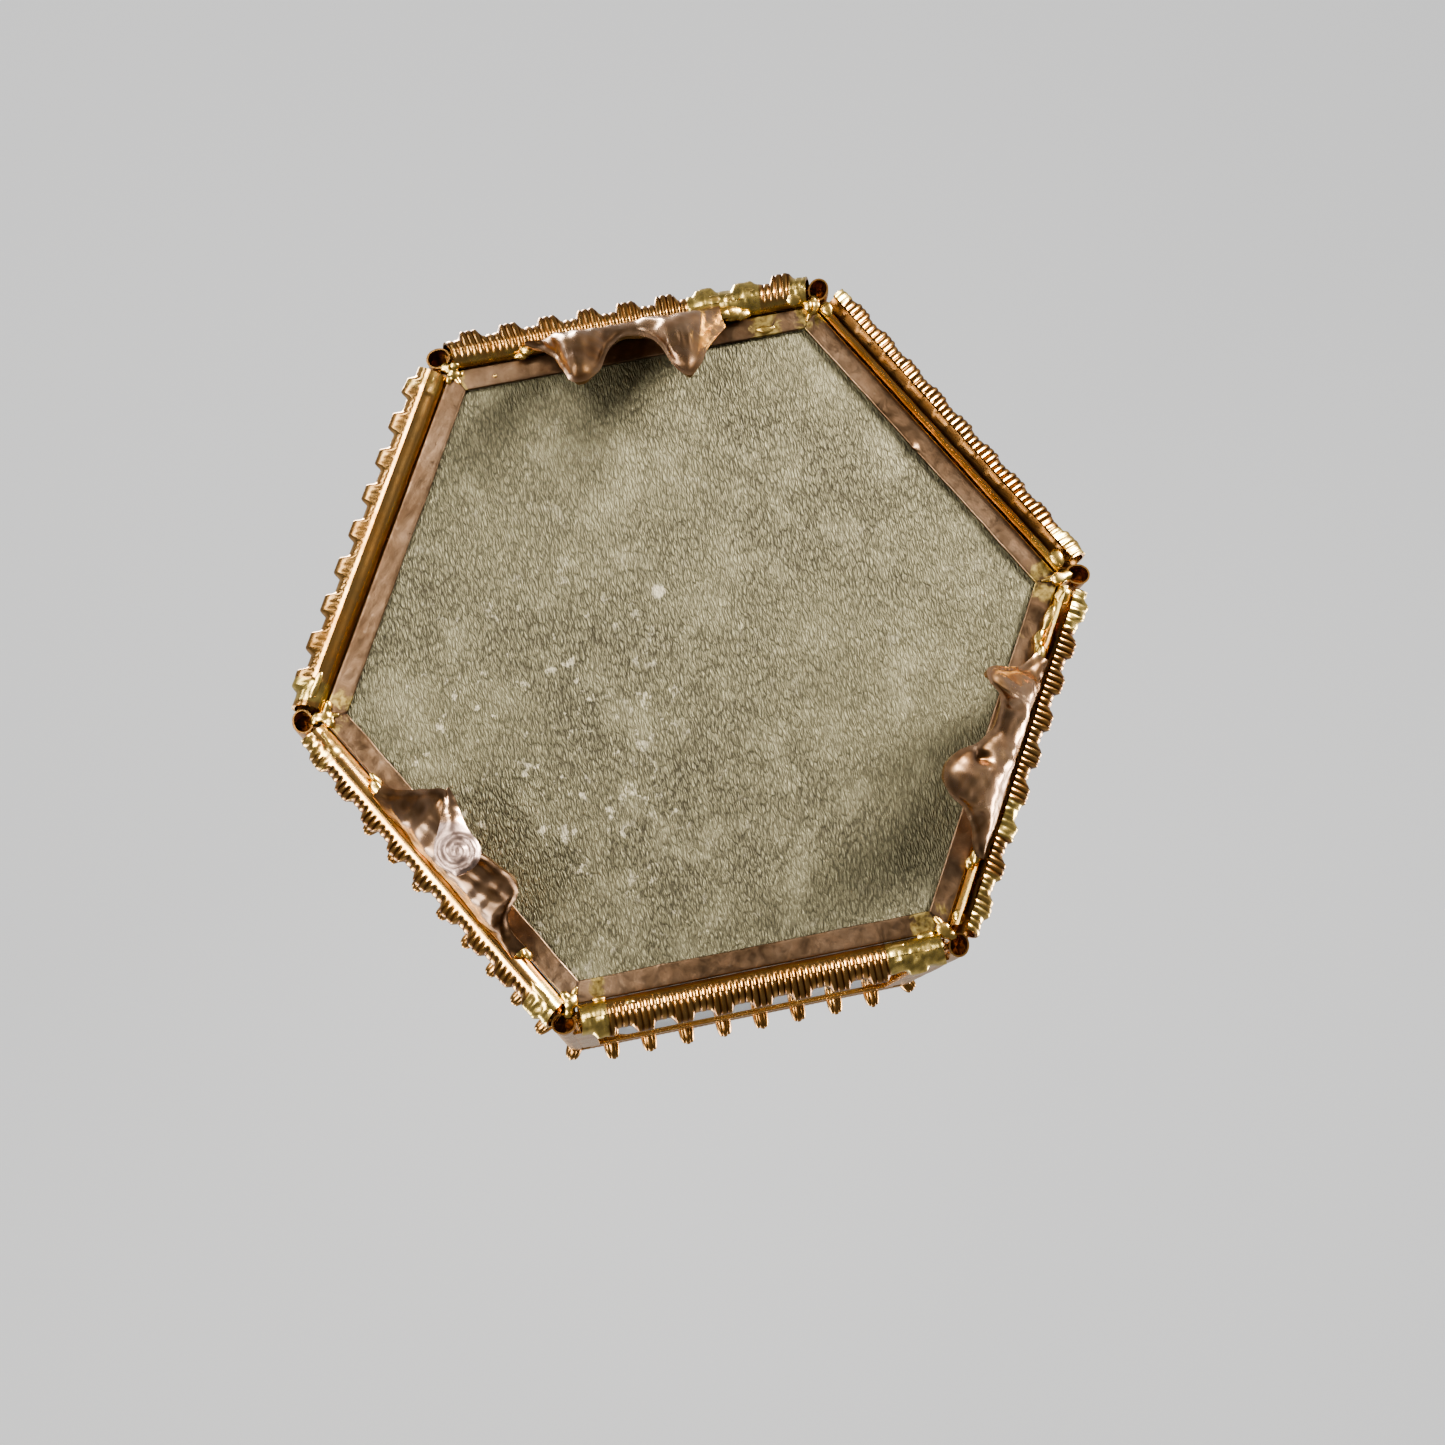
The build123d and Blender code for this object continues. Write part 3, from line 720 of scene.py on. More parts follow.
# ---------------------------------------------------------------- stamped feet
FEET = {
    330: [(33.0, -10.8, 8.9), (31.9, -9.0, 8.2), (29.9, -7.9, 5.5), (27.9, -7.6, 3.0), (25.6, -7.1, 0.3), (25.4, -6.4, 0.1), (25.8, -5.4, 0.4), (27.1, -4.2, 2.2),
          (29.6, -3.1, 4.6), (31.2, -1.5, 6.0), (31.1, 0.5, 6.3), (29.9, 1.9, 4.8), (28.1, 2.5, 3.2), (25.2, 3.2, 1.0), (24.0, 4.1, 0.1),
          (25.4, 5.4, 1.2), (27.4, 6.3, 3.4), (29.2, 7.5, 6.2), (31.1, 9.2, 8.6)],
    90: [(32.3, -9.9, 8.9), (31.1, -7.7, 7.0), (29.0, -6.4, 3.8), (27.6, -5.4, 1.2), (27.4, -4.7, 0.4), (27.8, -4.1, 0.4), (29.5, -3.9, 2.4), (30.2, -3.1, 4.4),
         (30.3, -0.8, 5.4), (29.0, 1.7, 3.2), (27.3, 3.2, 1.2), (26.5, 5.0, 0.1), (26.6, 6.4, 0.1), (27.6, 7.3, 1.0), (29.6, 7.7, 3.4), (31.5, 9.1, 6.4),
         (32.0, 10.3, 8.2), (32.8, 11.1, 9.0)],
    210: [(32.1, -11.7, 9.0), (32.2, -9.7, 8.0), (31.5, -8.6, 5.6), (30.6, -8.3, 3.2), (29.0, -7.9, 0.5), (28.7, -6.6, 0.1), (29.2, -5.3, 0.6),
          (29.5, -3.4, 1.4), (30.3, -1.5, 1.6), (30.0, 1.0, 1.3), (29.0, 2.7, 0.9), (28.0, 3.6, 0.2), (29.2, 4.9, 2.2), (30.7, 6.5, 5.2),
          (31.8, 7.9, 7.6), (32.1, 9.2, 8.8)],
}
TOE = [((28.02, 3.68), (27.82, 3.63), 0.35), ((29.03, 3.13), (28.11, 2.33), 0.8), ((30.09, 2.19), (28.67, 0.95), 0.85),
       ((31.22, 1.26), (29.10, -0.59), 0.62), ((32.5, 0.45), (29.06, -2.25), 0.3), ((33.2, -0.55), (29.72, -3.35), 0.16),
       ((33.2, -1.75), (30.95, -3.72), 0.12), ((33.0, -2.6), (32.0, -3.55), 0.12), ((32.78, -3.2), (32.68, -3.3), 0.12)]


def smooth_line(P, n, passes):
    P = np.array(P, float)
    d = np.r_[0, np.cumsum(np.linalg.norm(np.diff(P, axis=0), axis=1))]
    t = np.linspace(0, d[-1], n)
    Q = np.stack([np.interp(t, d, P[:, k]) for k in range(P.shape[1])], 1)
    for _ in range(passes):
        Q[1:-1] = 0.25 * Q[:-2] + 0.5 * Q[1:-1] + 0.25 * Q[2:]
    return Q


def normals(V):
    du = np.gradient(V, axis=0)
    dv = np.gradient(V, axis=1)
    N = np.cross(du, dv)
    return N / np.maximum(np.linalg.norm(N, axis=-1, keepdims=True), 1e-12)


def foot(az):
    name = SIDE[az]
    n, m = 190, 34
    E = smooth_line(FEET[az], n, 16)
    a = np.linspace(0, 1, n)
    uT = 0.7 * E[:, 1] + 0.3 * (E[0, 1] + (E[-1, 1] - E[0, 1]) * a)
    Tt = np.stack([np.full(n, 33.78), uT, np.full(n, 9.62)], 1)
    M = np.stack([33.78 - 0.14 * (33.78 - E[:, 0]), 0.5 * (uT + E[:, 1]), E[:, 2] + 0.30 * (9.62 - E[:, 2])], 1)
    b = np.linspace(0, 1, m)[None, :, None]
    V = (1 - b) ** 2 * Tt[:, None] + 2 * b * (1 - b) * M[:, None] + b ** 2 * E[:, None]
    N = normals(V)
    if N[n // 2, m // 2, 2] > 0:
        N = -N
    bb = np.linspace(0, 1, m)[None, :]
    length = np.linalg.norm(np.diff(V, axis=1), axis=2).sum(1)[:, None]
    u = V[..., 1]
    tall = sstep(length, 3.5, 9.0)
    flute = np.sin(2 * math.pi * (0.75 * E[:, 1:2] + 0.25 * u) / 1.75 + az) * np.sin(math.pi * np.clip(bb * 1.02, 0, 1)) ** 0.8 * tall
    d = 0.045 * flute
    d = d + 0.15 * np.exp(-(((1 - bb) * length) / 0.36) ** 2)
    d = d - 0.07 * np.exp(-(((1 - bb) * length - 0.85) / 0.38) ** 2)
    d = d + 0.30 * tall * np.exp(-((bb - 0.42) / 0.16) ** 2)
    P = V.copy()
    d = d + 0.075 * wob(P, 4.4, az + 20) + 0.030 * wob(P, 2.1, az + 22) + 0.014 * wob(P, 1.3, az + 21)
    # darker where the relief is low
    grime_and_painted_shade = np.clip(-1.6 * (d - 0.10) / 0.3, 0, 1) * 0.5
    # painted shade: the left-front foot's whole face, the right-front foot's lobe at negative u and the back foot's big
    # lobe darkened as if in shadow
    shade = {210: 0.78 + 0 * u, 330: 0.42 * (1 - sstep(u, -1.5, 1.5)) + 0.10, 90: 0.34 * sstep(u, 0.0, 2.5)}[az]
    grime_and_painted_shade = np.clip(grime_and_painted_shade + shade * (0.85 + 0.25 * wob(P, 5.0, az + 40)), 0, 1)
    if az == 90:
        # a dent, painted dark as shade
        hole = np.exp(-(((V[..., 1] - 2.5) / 0.7) ** 2 + ((V[..., 0] - 30.2) / 0.75) ** 2))
        d = d - 0.75 * hole
        grime_and_painted_shade = np.clip(grime_and_painted_shade + 0.9 * hole, 0, 1)
        for cu, cr, ln in ((-4.1, 30.3, 1.0), (-3.3, 30.9, 1.1), (-4.6, 31.3, 0.8)):
            d = d + 0.16 * np.exp(-(((V[..., 1] - cu) / 0.24) ** 2 + ((V[..., 0] - cr) / ln) ** 2))
    if az == 330:
        for cu, cr, ln in ((3.0, 28.6, 1.2), (4.2, 29.4, 1.2), (5.0, 29.0, 1.0), (-6.4, 28.9, 1.0)):
            d = d + 0.16 * np.exp(-(((V[..., 1] - cu) / 0.26) ** 2 + ((V[..., 0] - cr) / ln) ** 2))
    V = V + N * d[..., None]
    T = 0.42
    back = V - N * T
    V[..., 2] = np.maximum(V[..., 2], 0.02)
    back[..., 2] = np.maximum(back[..., 2], 0.02 + 0.02)
    both = np.concatenate([V, back[:, ::-1]], 1)
    # the inner face is a flat, darker value
    g = np.concatenate([grime_and_painted_shade, np.full_like(grime_and_painted_shade, 0.25)], 1)
    bld = Build()
    bld.grid(place(az, both[..., 0], both[..., 1], both[..., 2]), True, False, g)
    w = 2 * m
    for col, flip in ((0, False), (n - 1, True)):
        for q in range(m - 1):
            r = [col * w + q, col * w + q + 1, col * w + (w - 2 - q), col * w + (w - 1 - q)]
            bld.f.append(r[::-1] if flip else r)
    if az == 210:
        L = smooth_line([(*t[0], t[2]) for t in TOE], 46, 6)
        Rr = smooth_line([(*t[1], t[2]) for t in TOE], 46, 6)
        s = np.linspace(0, 1, 26)[None, :, None]
        Q = L[:, None] * (1 - s) + Rr[:, None] * s
        cx, cy = 31.15, -1.45
        rho = np.hypot(Q[..., 0] - cx, Q[..., 1] - cy)
        th = np.arctan2(Q[..., 1] - cy, Q[..., 0] - cx)
        mask = 1 - sstep(rho, 1.7, 2.3)
        width = np.linalg.norm(L - Rr, axis=1)[:, None]
        crown = (1 - (2 * s[..., 0] - 1) ** 2)
        z = Q[..., 2] + 0.42 * np.minimum(width / 3.0, 1) * (1 - crown)
        relief = 0.11 * np.cos(2 * math.pi * rho / 1.05 - th * 1.0) * mask + 0.05 * wob(Q, 1.4, 77)
        low = np.stack([Q[..., 0], Q[..., 1], np.maximum(z - relief - 0.05, 0.02)], -1)
        high = low + np.array([0, 0, 0.5])
        # darker in the low rings of the scroll
        gg = np.clip(0.5 - 3.0 * relief, 0, 1) * 0.45 * mask
        both = np.concatenate([low, high[:, ::-1]], 1)
        base = bld.count
        bld.grid(place(az, both[..., 0], both[..., 1], both[..., 2]), True, False, np.concatenate([gg, gg * 0 + 0.2], 1), np.concatenate([gg * 0 + sstep(np.arange(46.0), 8, 24)[:, None], gg * 0], 1))
        w2 = both.shape[1]
        for col in (0, both.shape[0] - 1):
            bld.f.append([base + col * w2 + i for i in range(w2)])
    return done(bld.make("foot_stamped_" + name, ROSE, 55), "root", "rose_brass", "foot_" + name)


for az in FEET:
    foot(az)


# ---------------------------------------------------------------- solder
def lumps(name, items, voxel, slot, *replaced):
    """Melted-looking solder: noisy ellipsoids fused by a fine remesh. items: side, r, u, z, half sizes along r, u, z."""
    bm = bmesh.new()
    for k, (az, r, u, z, hr, hu, hz) in enumerate(items):
        sub = bmesh.ops.create_icosphere(bm, subdivisions=3, radius=1.0)
        vs = sub["verts"]
        P = np.array([v.co for v in vs])
        P = P * (1 + 0.13 * wob(P, 1.9, 100 + k)[:, None])
        Q = place(az, r + P[:, 0] * hr, u + P[:, 1] * hu, z + P[:, 2] * hz) / MM
        for v, q in zip(vs, Q):
            v.co = q
    me = bpy.data.meshes.new(name)
    bm.to_mesh(me)
    bm.free()
    ob = bpy.data.objects.new(name, me)
    S.collection.objects.link(ob)
    md = ob.modifiers.new("fuse", "REMESH")
    md.mode = "VOXEL"
    md.voxel_size = voxel
    sm = ob.modifiers.new("melt", "SMOOTH")
    sm.factor = 0.5
    sm.iterations = 9
    applied(ob)
    me = ob.data
    co = np.empty(len(me.vertices) * 3)
    me.vertices.foreach_get("co", co)
    P = co.reshape(-1, 3)
    no = np.empty(len(me.vertices) * 3)
    me.vertices.foreach_get("normal", no)
    P = P + no.reshape(-1, 3) * (0.012 * wob(P, 1.6, 5))[:, None]
    me.vertices.foreach_set("co", (P * MM).ravel())
    me.polygons.foreach_set("use_smooth", [True] * len(me.polygons))
    me.update()
    me.materials.clear()
    me.materials.append(SOLDER)
    return done(ob, "root", slot, *replaced)


CORNER_SOLDER = [
    (330, 34.4, 7.2, 10.05, 0.55, 0.9, 0.32), (330, 34.6, 8.9, 9.95, 0.6, 0.8, 0.34), (330, 34.3, 10.6, 9.9, 0.7, 1.0, 0.36), (330, 34.7, 12.4, 10.05, 0.6, 0.9, 0.34),
    (330, 33.0, 9.8, 9.85, 0.75, 1.5, 0.30), (330, 32.6, 11.4, 10.2, 0.6, 0.9, 0.4), (330, 33.4, 16.9, 10.2, 0.9, 1.0, 0.42), (330, 32.4, 18.2, 10.7, 0.7, 0.6, 0.4),
    (330, 30.95, 13.5, 11.02, 0.45, 1.0, 0.16), (330, 32.0, -17.7, 11.0, 0.28, 0.3, 0.18), (330, 31.2, -14.4, 11.0, 0.22, 0.26, 0.2), (330, 32.9, -18.2, 10.6, 0.5, 0.5, 0.4),
    (150, 34.1, -17.0, 10.2, 0.85, 1.1, 0.45), (150, 33.8, -15.2, 10.25, 0.75, 1.4, 0.38), (150, 33.3, -13.4, 10.35, 0.45, 1.2, 0.34), (150, 32.7, -16.6, 10.8, 0.5, 1.0, 0.3),
    (150, 34.0, 17.0, 10.15, 0.8, 1.0, 0.42), (150, 33.7, 15.0, 10.2, 0.6, 1.3, 0.32), (150, 33.35, 13.1, 10.1, 0.40, 0.55, 0.36), (150, 32.5, 15.9, 11.0, 0.4, 0.7, 0.22),
    (90, 33.3, -16.9, 10.35, 0.9, 1.0, 0.45), (90, 32.7, -14.6, 10.6, 0.6, 1.5, 0.36), (90, 32.3, -12.0, 10.6, 0.5, 1.0, 0.34), (90, 34.9, 6.4, 10.3, 0.4, 2.0, 0.3),
    (90, 33.2, 17.2, 10.5, 0.7, 0.8, 0.45), (30, 33.2, -17.3, 10.4, 0.7, 0.8, 0.45), (30, 33.4, 17.1, 10.4, 0.8, 1.0, 0.45), (30, 34.9, 16.4, 10.3, 0.45, 1.2, 0.3),
    (210, 33.9, -15.9, 9.8, 0.5, 1.6, 0.22), (210, 33.7, 16.6, 10.0, 0.55, 1.1, 0.3), (210, 32.3, -17.8, 10.9, 0.45, 0.6, 0.3), (210, 32.2, 17.8, 10.9, 0.5, 0.7, 0.3),
    (270, 33.9, -16.0, 9.85, 0.5, 1.6, 0.25), (270, 33.8, 17.1, 9.95, 0.5, 0.9, 0.25), (270, 32.3, -17.6, 10.9, 0.5, 0.8, 0.3), (270, 32.3, 17.9, 10.9, 0.4, 0.5, 0.3),
]
for a in CORNER:
    CORNER_SOLDER += [(a, 36.6, 0.0, 11.02, 1.0, 0.34, 0.16), (a, 37.4, 0.1, 10.95, 0.85, 0.75, 0.34), (a, 38.1, -0.1, 11.3, 0.7, 0.7, 0.5)]
lumps("solder_corners", CORNER_SOLDER, 0.11, "solder", "corner_solder")
FOOT_SOLDER = []
for az, (ua, ub) in {330: (-10.6, 9.5), 90: (-10.2, 11.0), 210: (-11.4, 9.6)}.items():
    FOOT_SOLDER += [(az, 32.9, ua, 9.75, 0.55, 0.95, 0.35), (az, 32.5, ua - 0.8, 10.2, 0.45, 0.8, 0.35),
                    (az, 32.9, ub, 9.75, 0.55, 0.95, 0.35), (az, 32.5, ub + 0.8, 10.2, 0.45, 0.8, 0.35)]
lumps("solder_feet", FOOT_SOLDER, 0.10, "solder", "foot_solder")


# ---------------------------------------------------------------- corner posts: thin tube with folded fins for the glass
def post(a):
    b = Build()
    z = np.linspace(11.15, 62.55, 130)
    th = np.radians(np.arange(0, 360, 12))
    rad = math.radians(a)
    cx, cy = 39.4 * math.cos(rad), 39.4 * math.sin(rad)
    Z, T = np.meshgrid(z, th, indexing="ij")
    w = 0.02 * wob(np.stack([T, 0 * T, Z], -1), 9, a + 400)
    foot_end = 0.10 * (1 - sstep(Z, 11.15, 11.8)) * np.cos(T * 2 + a)
    shells = []
    for R0 in (1.13, 0.95):
        R1 = R0 + w + foot_end
        shells.append(np.stack([cx + R1 * np.cos(T), cy + R1 * np.sin(T), Z + 0.0 * T], -1))
    n = len(th)
    # painted shade: the tube's inside face darker than its outside
    for sh, g in zip(shells, (0.06, 0.5)):
        b.add(sh * MM, grid_faces(len(z), n, True), g)
    last = (len(z) - 1) * n
    tot = len(z) * n
    for base in (0, last):
        b.f += [[base + i, base + (i + 1) % n, tot + base + (i + 1) % n, tot + base + i] for i in range(n)]
    # a dark plug just inside the tube end: painted shade for the hollow
    rr = np.linspace(0.001, 0.97, 9)
    R3, T3 = np.meshgrid(rr, th, indexing="ij")
    cap = np.stack([cx + R3 * np.cos(T3), cy + R3 * np.sin(T3), 13.6 + 0.10 * np.sin(3 * T3 + a) * R3], -1)
    top = cap + np.array([0, 0, 0.35])
    b.add(np.concatenate([cap, top[::-1]]) * MM, grid_faces(18, n, True), 1.0, 0.0)
    us = np.linspace(15.3, 60.0, 110)
    for az, sg in ((a - 30, 1), (a + 30, -1)):
        for r0, u1 in ((34.9, 19.05), (33.0, 19.0)):
            loop = round_loop([(r0, 17.0), (r0 + 0.3, 17.0), (r0 + 0.3, u1), (r0, u1)], 0.09, 2, 0.5)
            Lp = np.broadcast_to(loop, (110, *loop.shape))
            wv = 0.025 * wob(np.stack([Lp[..., 0] * 0, Lp[..., 1], np.broadcast_to(us[:, None], Lp.shape[:2])], -1), 8, az + int(r0))
            edge = 1 - sstep(Lp[..., 1], 17.0, 17.8)
            sgn = 1 if r0 > 34 else -1
            b.grid(place(az % 360, Lp[..., 0] + np.minimum(sgn * wv * edge, 0) * sgn, sg * (Lp[..., 1] + 0.5 * wv * edge), us[:, None]), True, True, 0.08)
    return done(b.make("post_tube_" + CORNER[a], GILT_POST, 50), "root", "gilt_brass", "corner_post_" + CORNER[a])


GILT_POST = metal("gilt_brass_post", (0.74, 0.44, 0.17), (0.36, 0.18, 0.06), (0.10, 0.04, 0.014), rough=0.19)
for a in CORNER:
    post(a)


# ---------------------------------------------------------------- lid frame: ribbed strip with picots
def picot(b, az, u, w=1.9, reach=37.05, seed=0):
    s = np.linspace(-1, 1, 31)
    f = np.radians(np.linspace(-100, 100, 23))
    s2, f2 = np.meshgrid(s, f, indexing="ij")
    shape = np.clip(1 - np.abs(s2) ** 3.2, 0, 1) ** 0.5
    h, size = rib_shape(s2 * w / 2 + 0.5 * PITCH, seed)
    rad = shape * (1 - 0.10 * (1 - h)) * (1 + 0.03 * wob(np.stack([s2, f2, 0 * s2], -1), 1.1, seed))
    r = 35.15 + (reach - 35.15) * np.cos(f2) * rad
    z = 64.35 + 0.88 * np.sin(f2) * np.maximum(rad, 0.12)
    # painted shade: the picots darkened overall, darkest in their rib hollows
    b.grid(place(az, r, u + s2 * w / 2, z), False, False, 0.25 + 0.6 * (1 - h))


def lid_rail(az, skip):
    name = SIDE[az]
    loop = round_loop([(32.6, 62.82), (35.3, 62.82), (35.3, 65.88), (33.3, 65.88), (33.3, 65.6), (35.0, 65.6), (35.0, 63.1), (32.6, 63.1)], 0.28, 3, 0.42)
    cols = int(40.76 / PITCH * 6)
    s = np.linspace(-1, 1, cols)
    L = np.broadcast_to(loop, (cols, *loop.shape))
    r, z = L[..., 0], L[..., 1]
    U = s[:, None] * (r * T30 - 0.02)
    h, size = rib_shape(s[:, None] * 20.38 + 0 * r, az + 50)
    face = sstep(r, 35.0, 35.2) * sstep(z, 62.85, 63.2) * (1 - sstep(z, 65.5, 65.85))
    P = np.stack([r, U, z], -1)
    dr = -face * (0.17 * (1 - h) * size) + 0.008 * wob(P, 4, az) * face - 0.01 * face
    b = Build()
    # painted shade with some grime in the hollows between the ribs
    b.grid(place(az, r + dr, U, z), True, True, np.clip(face * (1 - h) + 0.15 * face, 0, 1))
    for k in range(8):
        u = (k - 3.5) * 4.5
        if abs(u) > skip:
            picot(b, az, u, seed=az + k)
    return done(b.make("lid_trim_" + name, GILT_LID, 50), "lid", "gilt_brass", "lid_rail_" + name)


for az in SIDE:
    lid_rail(az, 8.0 if az == 90 else 3.0 if az == 270 else 0.0)
b = Build()
for a in CORNER:
    picot(b, a, 0.0, 1.9, 41.62, a)
    # seat it on the mitred corner
    v = b.v[-1] / MM
    rad = math.radians(a)
    n = np.array([math.cos(rad), math.sin(rad), 0])
    rr = v @ n
    v = v + np.outer(np.where(rr < 41.62, (1 - (rr - 35.15) / (41.62 - 35.15)) * 5.0, 0), n)
    b.v[-1] = v * MM
done(b.make("lid_picots_corner", GILT_LID, 60), "lid", "gilt_brass", "lid_corner_picots")


# ---------------------------------------------------------------- padded velvet liner
def pad():
    K = 10.0  # worked at ten times size, where cloth behaves
    ap, z0, z1 = 30.3, 13.68, 16.9
    bm = bmesh.new()
    rings = []
    R = ap / math.cos(math.radians(30))
    for zz, f in ((z0, 0.985), (z0 + 0.9, 1.0), (z1 - 0.9, 0.995), (z1 - 0.25, 0.975), (z1, 0.94)):
        rings.append([bm.verts.new((R * f * math.cos(math.radians(60 * i)), R * f * math.sin(math.radians(60 * i)), zz)) for i in range(6)])
    for a, c in zip(rings, rings[1:]):
        for i in range(6):
            bm.faces.new((a[i], a[(i + 1) % 6], c[(i + 1) % 6], c[i]))
    bm.faces.new(rings[0][::-1])
    bm.faces.new(rings[-1])
    me = bpy.data.meshes.new("pad_work")
    bm.to_mesh(me)
    bm.free()
    me.transform(Matrix.Scale(K * MM, 4))
    ob = bpy.data.objects.new("velvet_liner", me)
    S.collection.objects.link(ob)
    md = ob.modifiers.new("remesh", "REMESH")
    md.mode = "VOXEL"
    md.voxel_size = 0.0105
    applied(ob)
    me = ob.data
    co = np.empty(len(me.vertices) * 3)
    me.vertices.foreach_get("co", co)
    P = co.reshape(-1, 3)
    # buttons: the middle and a ring of six
    spots = [(0.0, 0.0)] + [(17.0 * math.cos(math.radians(60 * i + 30)), 17.0 * math.sin(math.radians(60 * i + 30))) for i in range(6)]
    spots = np.array(spots) * K * MM
    d = np.min(np.linalg.norm(P[:, None, :2] - spots[None], axis=2), axis=1)
    top = P[:, 2] > (z0 + 1.8) * K * MM
    drop = np.exp(-(d / (3.4 * K * MM)) ** 2) * 1.9 * K * MM
    P[:, 2] -= np.where(top, drop, 0)
    me.vertices.foreach_set("co", P.ravel())
    me.update()
    g = ob.vertex_groups.new(name="pin")
    held = np.where((top & (d < 1.3 * K * MM)) | (P[:, 2] < (z0 + 0.25) * K * MM))[0]
    g.add([int(i) for i in held], 1.0, "ADD")
    cl = ob.modifiers.new("cloth", "CLOTH")
    st = cl.settings
    st.quality = 5
    st.mass = 0.3
    st.tension_stiffness = st.compression_stiffness = 12
    st.shear_stiffness = 8
    st.bending_stiffness = 0.8
    st.use_pressure = True
    st.uniform_pressure_force = 4.0
    st.effector_weights.gravity = 0
    st.vertex_group_mass = "pin"
    st.pin_stiffness = 1.0
    cl.collision_settings.use_collision = False
    S.frame_start, S.frame_end = 1, 20
    cl.point_cache.frame_start, cl.point_cache.frame_end = 1, 20
    for f in range(1, 21):
        S.frame_set(f)
        bpy.context.view_layer.update()
    dg = bpy.context.evaluated_depsgraph_get()
    ev = ob.evaluated_get(dg).to_mesh()
    new = np.empty(len(ev.vertices) * 3)
    ev.vertices.foreach_get("co", new)
    new = new.reshape(-1, 3)
    ob.evaluated_get(dg).to_mesh_clear()
    ob.modifiers.clear()
    S.frame_set(1)
    move = new - P
    size = np.linalg.norm(move, axis=1, keepdims=True)
    cap = 1.25 * K * MM
    P = P + move * np.minimum(1.0, cap / np.maximum(size, 1e-9))
    P = P / (K * MM)
    # stay on the board and inside the lips and glass
    P[:, 2] = np.clip(P[:, 2], 13.64, 18.4)
    for az in SIDE:
        a = math.radians(az)
        n = np.array([math.cos(a), math.sin(a)])
        over = np.maximum(P[:, :2] @ n - 31.15, 0)
        P[:, :2] -= np.outer(over, n)
    me.vertices.foreach_set("co", (P * MM).ravel())
    ob.vertex_groups.clear()
    me.update()
    sub = ob.modifiers.new("fine", "SUBSURF")
    sub.levels = sub.render_levels = 1
    applied(ob)
    me = ob.data
    co = np.empty(len(me.vertices) * 3)
    me.vertices.foreach_get("co", co)
    P = co.reshape(-1, 3) / MM
    sp = spots / (K * MM)
    top = P[:, 2] > z0 + 1.6
    # folds run from button to button and out to the edge
    crease = np.full(len(P), 9.0)
    segs = [(sp[0], sp[i]) for i in range(1, 7)] + [(sp[i], sp[i % 6 + 1]) for i in range(1, 7)] + [(sp[i], sp[i] * 1.9) for i in range(1, 7)]
    for a, c in segs:
        ab = c - a
        t = np.clip(((P[:, :2] - a) @ ab) / (ab @ ab), 0, 1)
        crease = np.minimum(crease, np.linalg.norm(P[:, :2] - (a + t[:, None] * ab), axis=1))
    fold = np.exp(-(crease / 0.75) ** 2) * top
    P[:, 2] -= 0.42 * fold
    dd = np.min(np.linalg.norm(P[:, None, :2] - sp[None], axis=2), axis=1)
    # painted shade in the folds and round the buttons
    at = me.attributes.new("grime_and_painted_shade", "FLOAT", "POINT")
    at.data.foreach_set("value", np.clip(0.8 * fold + np.exp(-(dd / 1.4) ** 2) * top, 0, 1).astype(np.float32))
    me.vertices.foreach_set("co", (P * MM).ravel())
    me.polygons.foreach_set("use_smooth", [True] * len(me.polygons))
    me.update()
    me.materials.clear()
    me.materials.append(VELVET)
    done(ob, "root", "velvet", "velvet_pad")
    # covered buttons and the piped edge
    b = Build()
    for i, (x, y) in enumerate(sp):
        near = np.linalg.norm(P[:, :2] - (x, y), axis=1) < 0.9
        zc = float(P[near & top, 2].max()) if (near & top).any() else 15.5
        th = np.linspace(0, 2 * math.pi, 21)[:-1]
        ph = np.linspace(0, math.pi / 2, 9)
        T2, P2 = np.meshgrid(th, ph)
        V = np.stack([x + 1.05 * np.cos(P2) * np.cos(T2), y + 1.05 * np.cos(P2) * np.sin(T2), zc - 0.15 + 0.6 * np.sin(P2) ** 0.9], -1)
        faces = grid_faces(9, 20, True)
        b.add(V * MM, faces, 0.15)
    R6 = 30.9 / math.cos(math.radians(30))
    line = round_loop([(R6 * math.cos(math.radians(60 * i)), R6 * math.sin(math.radians(60 * i))) for i in range(6)], 2.2, 8, 0.5)
    tang = np.roll(line, -1, 0) - np.roll(line, 1, 0)
    tang /= np.linalg.norm(tang, axis=1, keepdims=True)
    side = np.stack([tang[:, 1], -tang[:, 0]], 1)
    th = np.linspace(0, 2 * math.pi, 15)[:-1]
    twist = np.arange(len(line))[:, None] * 0.55
    rr = 0.33 + 0.03 * np.cos(3 * (th[None] + twist))
    c = line - side * 0.12
    V = np.stack([c[:, None, 0] + side[:, None, 0] * rr * np.cos(th), c[:, None, 1] + side[:, None, 1] * rr * np.cos(th), 14.02 + rr * np.sin(th)], -1)
    V = np.concatenate([V, V[:1]], 0)
    m, n = V.shape[:2]
    faces = [[(i % (m - 1)) * n + j, (i % (m - 1)) * n + (j + 1) % n, ((i + 1) % (m - 1)) * n + (j + 1) % n, ((i + 1) % (m - 1)) * n + j] for i in range(m - 1) for j in range(n)]
    b.add(V[:-1] * MM, faces, 0.2)
    done(b.make("velvet_trim", VELVET, 0), "root", "velvet")
    return ob


pad()


# ---------------------------------------------------------------- CAD nodes that stay, with their finish
def finish_node(name, material, weld=True, bevel=None):
    o = nodes[name]
    if not o.material_slots:
        o.data.materials.append(material)
    for s in o.material_slots:
        s.material = material
    if weld:
        w = o.modifiers.new("weld", "WELD")
        w.merge_threshold = 2e-6
    if bevel:
        bv = o.modifiers.new("arris", "BEVEL")
        bv.width = bevel
        bv.segments = 2
        bv.limit_method = "ANGLE"
        bv.angle_limit = math.radians(35)
        bv.harden_normals = False


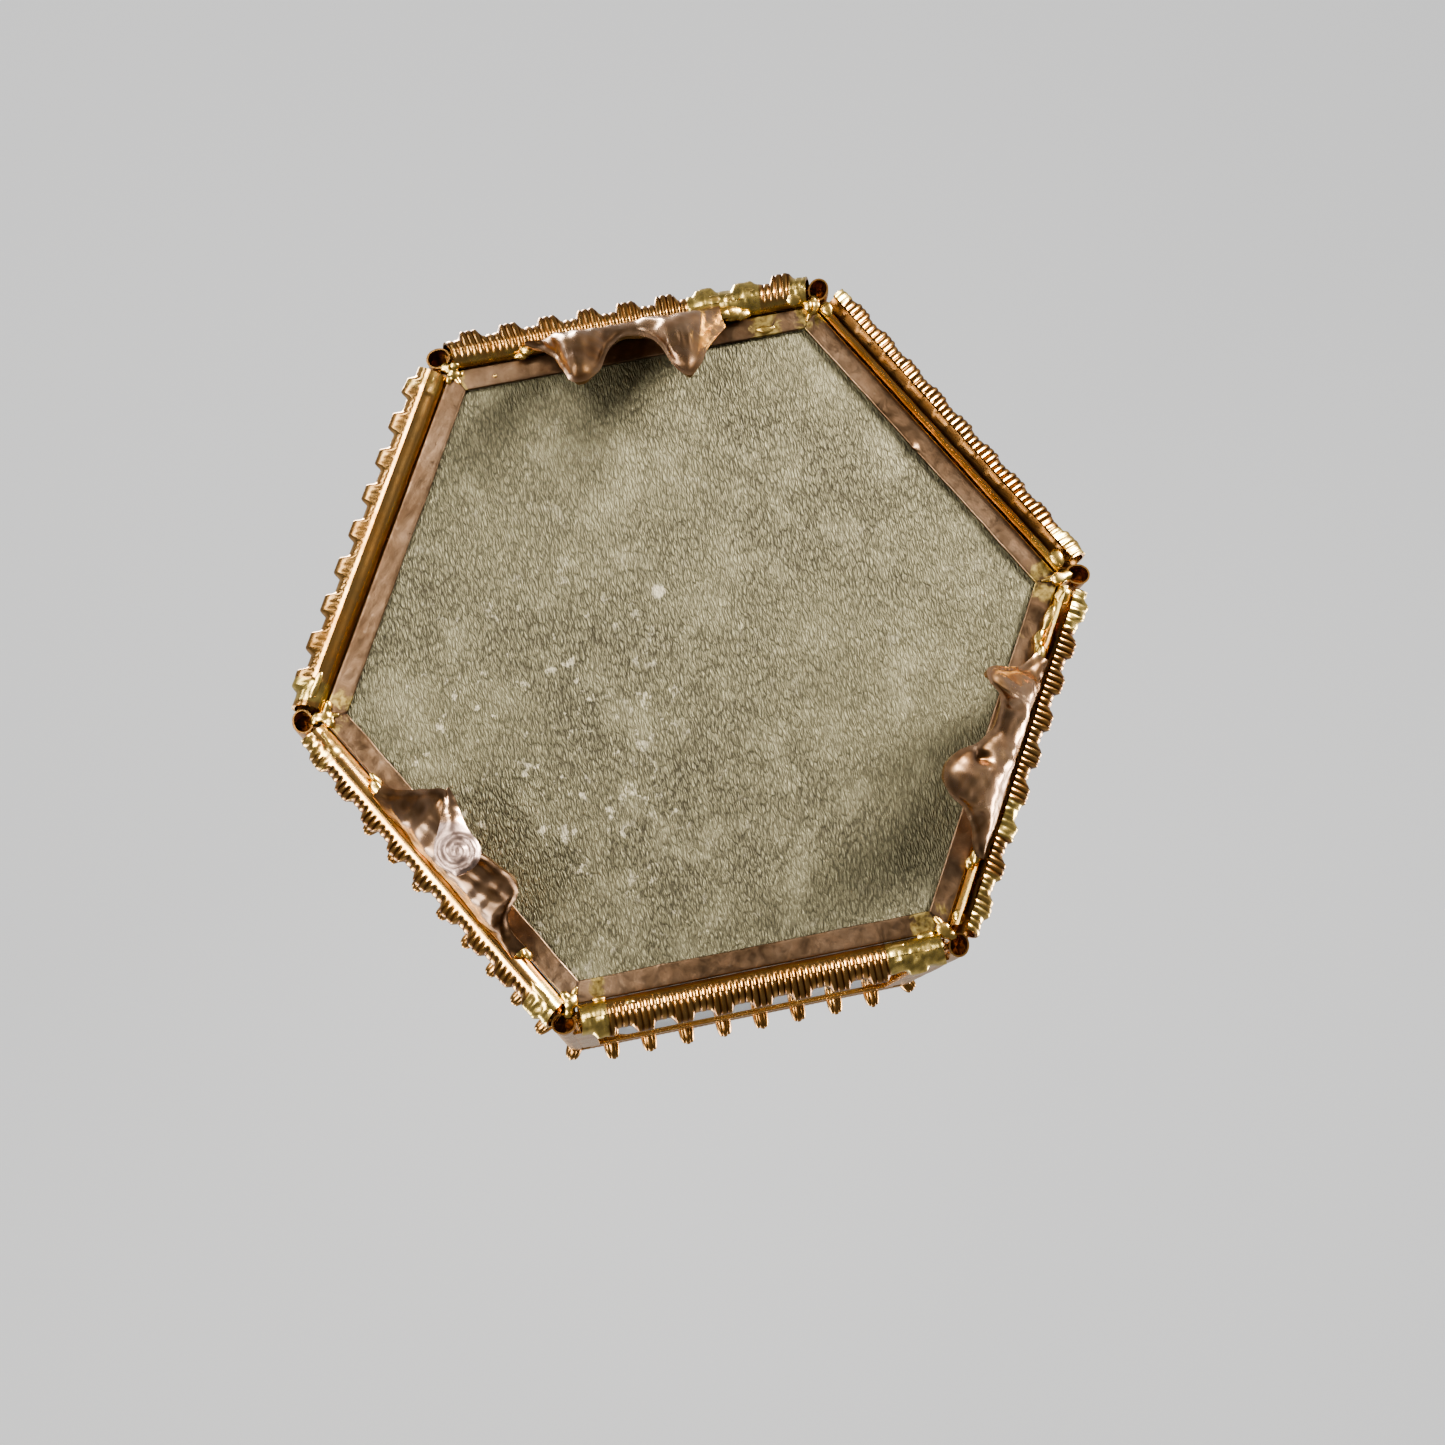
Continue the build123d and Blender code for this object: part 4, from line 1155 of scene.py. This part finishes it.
for n in nodes:
    if n.startswith("side_glass"):
        finish_node(n, GLASS, True, 0.00010)
    elif n == "lid_glass":
        finish_node(n, GLASS_LID, True, 0.00010)
    elif n.startswith("rim_rail"):
        finish_node(n, GILT_PLAIN, True, 0.00007)
    elif n.startswith(("hinge", "lid_tab")):
        finish_node(n, GILT_PLAIN, True, 0.00005)
    elif n == "floor_board":
        finish_node(n, BOARD)
